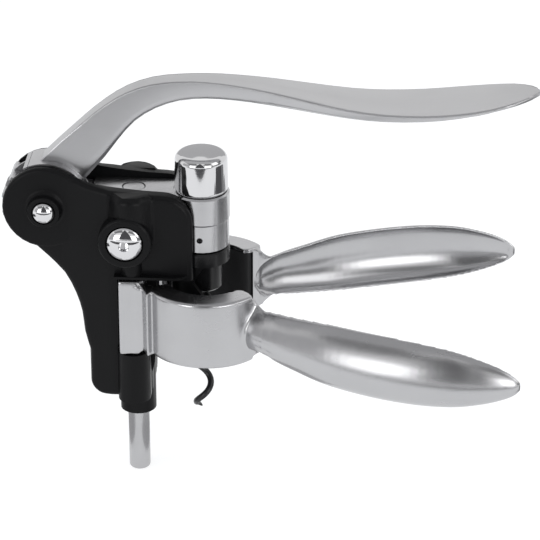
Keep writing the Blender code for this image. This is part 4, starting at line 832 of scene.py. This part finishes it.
class CORKSCREW_OT_handles(bpy.types.Operator):
    """Cast the two grip handles and line their jaws with rubber"""

    bl_idname = "corkscrew.handles"
    bl_label = "Handles"

    def execute(self, context):
        sizes = context.scene.corkscrew_sizes
        for name, side in (("front", -1), ("rear", 1)):
            body = name + "_handle"
            casting = self.casting(sizes, name, side)
            complete(casting, body, "polished_grip", [body], sharp=60.0)
            pad = name + "_jaw_pad"
            complete(recast(name + "_lining", pad), body, "pad_rubber", [pad], sharp=40.0)
        return {'FINISHED'}

    def corner(self, sizes, pin, row):
        """Where a section stands: along the reach, its inner face without the side, and its middle height."""
        reach, face, _, _, level, _ = row
        return (pin.x + reach * sizes.grip_reach, abs(pin.y) + face * sizes.grip_depth,
                level * sizes.grip_height)

    def outer(self, sizes, side, pin, rows):
        """Half-round sections of the handle or the web."""
        rings = []
        for row in between(rows, ROW_STEPS):
            depth, height, boxy = row[2], row[3], row[5]
            x, y, z = self.corner(sizes, pin, row)
            ring = []
            for number in range(GRIP_POINTS + 1):
                turn = math.pi * number / GRIP_POINTS
                out = max(math.sin(turn), 0.0) ** boxy * depth * sizes.grip_depth
                out *= GRIP_FULL * (1.0 - GRIP_LEAN * math.cos(turn))
                up = math.copysign(abs(math.cos(turn)) ** boxy, math.cos(turn)) * height * sizes.grip_height
                ring.append((x, side * (y + out), z + up))
            rings.append(ring)
        return skinned(rings)

    def hollow(self, sizes, side, pin):
        """Cutter for the hollow, with a round end beside the jaw. It stops short of the tip."""
        rows = between(GRIP_ROWS, ROW_STEPS)
        full = HOLLOW_FROM + HOLLOW_ROUND
        neck = row_at(rows, full)[3]
        sections = []
        for number in range(HOLLOW_STEPS):
            turn = math.pi / 2 * (number + HOLLOW_FIRST) / HOLLOW_STEPS
            row = row_at(rows, full - HOLLOW_ROUND * math.cos(turn))
            row[3] = neck
            sections.append((row, math.sin(turn)))
        sections += [(row, 1.0) for row in rows[:-ROW_STEPS] if row[0] > full]
        rings = []
        for row, opened in sections:
            x, y, z = self.corner(sizes, pin, row)
            deep = max(row[2] * sizes.grip_depth - sizes.grip_wall, HOLLOW_DEEP)
            deep *= HOLLOW_END + (1.0 - HOLLOW_END) * opened
            half = max(row[3] * sizes.grip_height - sizes.grip_rim, HOLLOW_HALF) * opened
            turns = [math.pi * number / HOLLOW_POINTS for number in range(HOLLOW_POINTS + 1)]
            ring = [(x, side * (y + deep * math.sin(turn)), z + half * math.cos(turn)) for turn in turns]
            before = side * (y - HOLLOW_PAST)
            rings.append(ring + [(x, before, z - half), (x, before, z + half)])
        return skinned(rings)

    def beside(self, sizes, side):
        """Plan of what a full ring loses, from the hinge end round to the handle end."""
        widest, last = JAW_END[-1]
        around = 360.0 + last - JAW_HINGE_TURN
        turns = [JAW_HINGE_TURN + around * number / JAW_STEPS for number in range(JAW_STEPS + 1)]
        plan = [(0.0, 0.0)]
        for share, degrees in [(widest, turn) for turn in turns] + list(reversed(JAW_END)):
            turn = math.radians(degrees)
            reach = share * sizes.jaw_outer
            plan.append((reach * math.cos(turn), side * reach * math.sin(turn)))
        return plan

    def jaw(self, sizes, side, foot):
        """The part of a ring that grips the bottle's neck, with rounded outer edges."""
        edge, bore = sizes.jaw_edge, sizes.jaw_mouth - JAW_SPARE
        rim = sizes.jaw_outer - edge
        bend = [(edge * across, edge * up) for across, up in quarter(18)]
        profile = [(bore, 0.0)] + [(rim + a, b - edge) for a, b in bend]
        profile += [(rim + a, foot + edge - b) for a, b in reversed(bend)] + [(bore, foot)]
        ring = to_object("jaw_ring", spun(profile, 180, closed=True))
        combine(ring, [plate(self.beside(sizes, side), foot - PAST, PAST)])
        bm = bmesh.new()
        bm.from_mesh(ring.data)
        bpy.data.objects.remove(ring, do_unlink=True)
        return bm

    def link(self, side, pin, foot):
        """The short wall that joins the jaw to the hinge block."""
        inside = abs(pin.y) + BLOCK_OUTSIDE - LINK_SUNK
        plan = [(pin.x, LINK_START)] + [(x * mm, y * mm) for x, y in LINK_PLAN]
        plan += [(LINK_END, inside), (pin.x, inside)]
        return plate([(x, side * y) for x, y in plan], foot + LINK_SHORT, -LINK_SHORT)

    def hinge_block(self, side, pin, top, foot):
        """The upright block beside the pin, wider at the height of the jaw."""
        left, right = pin.x - BLOCK_LEFT, pin.x + BLOCK_RIGHT
        outline = [(left, top), (right, top), (right + BLOCK_STEP, 0.0), (right + BLOCK_STEP, foot),
                   (right, BLOCK_FOOT), (left, BLOCK_FOOT)]
        block = plate([(x, -z) for x, z in outline], 0.0, BLOCK_OUTSIDE + BLOCK_INSIDE)
        near = min(side * (abs(pin.y) - BLOCK_INSIDE), side * (abs(pin.y) + BLOCK_OUTSIDE))
        return moved(block, Matrix.Translation((0.0, near, 0.0)) @ Matrix.Rotation(math.radians(-90), 4, 'X'))

    def casting(self, sizes, name, side):
        """A hollow handle with its jaw and hinge block in one skin, bored for the neck, pad and pin."""
        low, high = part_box(name + "_hinge_pin")
        pin = Vector(((low.x + high.x) / 2, (low.y + high.y) / 2, 0.0))
        swing = (Matrix.Translation(pin) @ Matrix.Rotation(side * sizes.grip_open, 4, 'Z')
                 @ Matrix.Translation(-pin))
        foot = -sizes.jaw_height
        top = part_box(name + "_handle")[1].z
        grip = to_object(name + "_grip", self.outer(sizes, side, pin, GRIP_ROWS))
        combine(grip, [self.outer(sizes, side, pin, WEB_ROWS)], 'UNION')
        combine(grip, [self.hollow(sizes, side, pin)])
        grip.data.transform(swing)
        combine(grip, [moved(self.link(side, pin, foot), swing),
                       self.hinge_block(side, pin, top, foot),
                       bar(KNUCKLE, BLOCK_FOOT, top, (pin.x, pin.y)),
                       moved(self.jaw(sizes, side, foot), swing)], 'UNION')
        skin = grip.modifiers.new("skin", 'REMESH')
        skin.mode = 'VOXEL'
        skin.voxel_size = sizes.grip_fine
        apply_modifiers(grip)
        self.settle(grip, sizes, side, swing)
        combine(grip, [moved(bar(sizes.jaw_mouth, foot - 2 * PAST, 2 * PAST), swing),
                       moved(bar(sizes.jaw_seat, foot + PAD_LIP, -PAD_LIP), swing),
                       bar(PIN_BORE, BLOCK_FOOT - PAST, top + PAST, (pin.x, pin.y), 40)])
        return grip

    def settle(self, grip, sizes, side, swing):
        """Take the fine steps out of the whole skin and blend the handle's root into the jaw."""
        bm = bmesh.new()
        bm.from_mesh(grip.data)
        away = swing.inverted()
        root = []
        for v in bm.verts:
            place = away @ v.co
            if (ROOT_X[0] < place.x < ROOT_X[1] and ROOT_Z[0] < place.z < ROOT_Z[1]
                    and side * place.y > ROOT_Y
                    and math.hypot(place.x, place.y) > sizes.jaw_seat + ROOT_OUTSIDE):
                root.append(v)
        smooth(bm, bm.verts, SKIN_TIMES)
        smooth(bm, root, ROOT_TIMES)
        bm.to_mesh(grip.data)
        bm.free()


# Stage

# the camera's direction round Z and above the level, the place that it looks towards and its reach from it
CAMERA_AZIMUTH = math.radians(3.5)
CAMERA_TILT = math.radians(26.0)
CAMERA_AIM = Vector((24.8 * mm, 0.0, 0.0))
CAMERA_REACH = 1.023
CAMERA_LENS = 186.667
# the light of the surroundings, and how brightly the floor shows to the camera and in mirrors
ROOM_LIGHT = (0.93, 0.96, 1.0, 1.0)
ROOM_STRENGTH = 0.70
WHITE = (1.0, 1.0, 1.0, 1.0)
FLOOR_GLOW = 0.72
FLOOR_HALF = 6.0
# name, place, aim, width, height, watts, and whether bright metal mirrors it
LAMPS = (
    ("lamp_edge", (0.05, -0.44, 0.88), (0.03, 0.0, 0.0), 1.2, 0.12, 0.7, False),
    ("lamp_low", (-0.75, -1.30, 0.20), (0.06, 0.0, 0.0), 0.7, 0.55, 3.2, True),
    ("lamp_low_right", (0.85, -1.30, 0.20), (0.06, 0.0, 0.0), 0.7, 0.55, 3.4, True),
    ("lamp_left", (-0.95, -0.45, 0.55), (0.0, 0.0, 0.0), 0.5, 0.7, 1.4, False),
    ("lamp_right", (0.95, -0.35, 0.55), (0.03, 0.0, 0.0), 0.5, 0.7, 1.2, True),
)
# name, tint, place, degrees round X and then Z, and half sizes
CARDS = (
    ("card_horizon", "dark_card", (0.05, -1.3, -0.06), (90.0, 0.0), (3.0, 0.02)),
    ("card_front", "dark_card", (0.0, -0.41, -0.08), (0.0, 0.0), (0.60, 0.11)),
    ("card_left", "dark_card", (-0.26, 0.03, -0.08), (0.0, 0.0), (0.06, 0.14)),
    ("card_right", "dark_card", (0.29, -0.03, -0.08), (0.0, 0.0), (0.05, 0.08)),
    ("card_far_left", "pale_card", (-1.40, -0.80, 0.34), (90.0, -60.0), (0.50, 0.44)),
    ("card_far_right", "grey_card", (1.60, -0.50, 0.22), (90.0, 72.0), (0.70, 0.32)),
    ("card_rod_left", "pale_card", (-0.080, 0.0, -0.083), (0.0, 0.0), (0.035, 0.035)),
    ("card_rod_right", "pale_card", (0.010, 0.0, -0.083), (0.0, 0.0), (0.018, 0.030)),
    ("card_hollow", "grey_card", (0.31, 0.02, -0.081), (0.0, 0.0), (0.14, 0.10)),
    ("card_cap", "pale_card", (0.0, 0.032, 0.0615), (90.0, 0.0), (0.030, 0.0125)),
    ("card_ceiling_left", "grey_card", (-0.80, -0.92, 0.90), (0.0, 0.0), (0.55, 0.36)),
    ("card_ceiling_right", "grey_card", (0.85, -0.92, 0.90), (0.0, 0.0), (0.55, 0.36)),
    ("card_ceiling", "pale_card", (0.0, 0.0, 0.90), (0.0, 0.0), (1.2, 0.55)),
)
# corners of the upright dark card that the domed screws show as a triangle
WEDGE = ((-0.5, -1.29, 0.0), (0.5, -1.29, 0.0), (-0.05, -1.29, 2.2))


def seen_rays(tree):
    """1 for camera, mirrored and passed-through rays, and 0 for the light that falls on the pieces."""
    path = add_node(tree, 'LightPath')
    seen = add_node(tree, 'Math', operation='MAXIMUM')
    clear = add_node(tree, 'Math', operation='MAXIMUM')
    tree.links.new(path.outputs['Is Camera Ray'], seen.inputs[0])
    tree.links.new(path.outputs['Is Glossy Ray'], seen.inputs[1])
    tree.links.new(seen.outputs[0], clear.inputs[0])
    tree.links.new(path.outputs['Is Transmission Ray'], clear.inputs[1])
    return clear.outputs[0]


class CORKSCREW_OT_stage(bpy.types.Operator):
    """Make the floor, the cards, the lamps, the white surroundings and the camera"""

    bl_idname = "corkscrew.stage"
    bl_label = "Stage"

    def execute(self, context):
        scene = context.scene
        scene.view_settings.view_transform = 'Standard'
        self.camera(scene)
        self.surroundings(scene)
        self.floor(scene)
        self.cards(scene)
        self.lamps(scene)
        return {'FINISHED'}

    def camera(self, scene):
        """Camera at the photograph's distance, height and lens."""
        lens = bpy.data.cameras.new("camera")
        lens.lens = CAMERA_LENS
        lens.sensor_width = 36.0
        lens.clip_start = 0.05
        lens.clip_end = 20.0
        camera = bpy.data.objects.new("camera", lens)
        scene.collection.objects.link(camera)
        right = Vector((math.cos(CAMERA_AZIMUTH), math.sin(CAMERA_AZIMUTH), 0.0))
        level = Vector((right.y, -right.x, 0.0))
        back = level * math.cos(CAMERA_TILT) + Vector((0.0, 0.0, math.sin(CAMERA_TILT)))
        turn = Matrix((right, back.cross(right), back)).transposed().to_4x4()
        camera.matrix_world = Matrix.Translation(CAMERA_AIM + back * CAMERA_REACH) @ turn
        scene.camera = camera

    def surroundings(self, scene):
        """White to look at and in mirrors, and a cooler, weaker light on the pieces."""
        world = bpy.data.worlds.new("white_room")
        scene.world = world
        world.use_nodes = True
        tree = world.node_tree
        tree.nodes.clear()
        light = add_node(tree, 'Background', {'Color': ROOM_LIGHT, 'Strength': ROOM_STRENGTH})
        white = add_node(tree, 'Background', {'Color': WHITE, 'Strength': 1.0})
        mix = add_node(tree, 'MixShader')
        out = add_node(tree, 'OutputWorld')
        tree.links.new(seen_rays(tree), mix.inputs['Fac'])
        tree.links.new(light.outputs[0], mix.inputs[1])
        tree.links.new(white.outputs[0], mix.inputs[2])
        tree.links.new(mix.outputs[0], out.inputs['Surface'])

    def floor(self, scene):
        """Paper floor under the guide rod that shows white and throws little light upwards."""
        mat = bpy.data.materials.new("floor_paper")
        mat.use_nodes = True
        tree = mat.node_tree
        shader = tree.nodes["Principled BSDF"]
        for socket, value in (('Base Color', (*scene.corkscrew_colours.floor, 1.0)), ('Roughness', 0.9),
                              ('Specular IOR Level', 0.1), ('Emission Color', WHITE)):
            shader.inputs[socket].default_value = value
        lift = add_node(tree, 'Math', {1: FLOOR_GLOW}, operation='MULTIPLY')
        tree.links.new(seen_rays(tree), lift.inputs[0])
        tree.links.new(lift.outputs[0], shader.inputs['Emission Strength'])
        bm = bmesh.new()
        bmesh.ops.create_grid(bm, x_segments=1, y_segments=1, size=FLOOR_HALF)
        bmesh.ops.translate(bm, vec=(0.0, 0.0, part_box("guide_rod")[0].z), verts=bm.verts)
        floor = to_object("floor", bm)
        floor.data.materials.append(mat)

    def cards(self, scene):
        """Grey cards outside the picture. Only mirrored light sees them."""
        tints = scene.corkscrew_colours
        for name, grey, place, (tilt, turn), (wide, deep) in CARDS:
            bm = bmesh.new()
            bmesh.ops.create_grid(bm, x_segments=1, y_segments=1, size=1.0)
            bmesh.ops.scale(bm, vec=(wide, deep, 1.0), verts=bm.verts)
            moved(bm, Matrix.Translation(place) @ Matrix.Rotation(math.radians(turn), 4, 'Z')
                  @ Matrix.Rotation(math.radians(tilt), 4, 'X'))
            self.card(name, bm, getattr(tints, grey))
        wedge = bmesh.new()
        wedge.faces.new([wedge.verts.new(place) for place in WEDGE])
        self.card("card_wedge", wedge, tints.dark_card)

    def card(self, name, bm, grey):
        """One card in a plain grey of its own light."""
        mat = bpy.data.materials.new(name)
        mat.use_nodes = True
        tree = mat.node_tree
        tree.nodes.clear()
        glow = add_node(tree, 'Emission', {'Color': (*grey, 1.0)})
        out = add_node(tree, 'OutputMaterial')
        tree.links.new(glow.outputs[0], out.inputs['Surface'])
        card = to_object(name, bm)
        card.data.materials.append(mat)
        card.visible_camera = False
        card.visible_diffuse = False
        card.visible_shadow = False

    def lamps(self, scene):
        """Area lamps round the corkscrew."""
        for name, place, aim, wide, tall, power, mirrored in LAMPS:
            data = bpy.data.lights.new(name, 'AREA')
            data.shape = 'RECTANGLE'
            data.size = wide
            data.size_y = tall
            data.energy = power
            lamp = bpy.data.objects.new(name, data)
            scene.collection.objects.link(lamp)
            lamp.location = place
            lamp.rotation_euler = (Vector(place) - Vector(aim)).to_track_quat('Z', 'Y').to_euler()
            lamp.visible_glossy = mirrored


class CORKSCREW_PT_panel(bpy.types.Panel):
    """Lists the steps that dress the corkscrew"""

    bl_idname = "CORKSCREW_PT_panel"
    bl_label = "Corkscrew"
    bl_space_type = 'VIEW_3D'
    bl_region_type = 'UI'
    bl_category = "Corkscrew"

    def draw(self, context):
        for operator in OPERATORS:
            self.layout.operator(operator.bl_idname)


OPERATORS = (
    CORKSCREW_OT_finishes,
    CORKSCREW_OT_walls,
    CORKSCREW_OT_core,
    CORKSCREW_OT_lever,
    CORKSCREW_OT_carriage,
    CORKSCREW_OT_cap,
    CORKSCREW_OT_domes,
    CORKSCREW_OT_axle,
    CORKSCREW_OT_rod,
    CORKSCREW_OT_screw,
    CORKSCREW_OT_handles,
    CORKSCREW_OT_stage,
)
CLASSES = (CorkscrewSizes, CorkscrewColours) + OPERATORS + (CORKSCREW_PT_panel,)


def register():
    for cls in CLASSES:
        bpy.utils.register_class(cls)
    bpy.types.Scene.corkscrew_sizes = bpy.props.PointerProperty(type=CorkscrewSizes)
    bpy.types.Scene.corkscrew_colours = bpy.props.PointerProperty(type=CorkscrewColours)


def unregister():
    del bpy.types.Scene.corkscrew_colours
    del bpy.types.Scene.corkscrew_sizes
    for cls in reversed(CLASSES):
        bpy.utils.unregister_class(cls)


def main():
    """Dress the corkscrew."""
    register()
    bpy.ops.corkscrew.finishes()
    bpy.ops.corkscrew.walls()
    bpy.ops.corkscrew.core()
    bpy.ops.corkscrew.lever()
    bpy.ops.corkscrew.carriage()
    bpy.ops.corkscrew.cap()
    bpy.ops.corkscrew.domes()
    bpy.ops.corkscrew.axle()
    bpy.ops.corkscrew.rod()
    bpy.ops.corkscrew.screw()
    bpy.ops.corkscrew.handles()
    bpy.ops.corkscrew.stage()


if __name__ == "__main__":
    main()
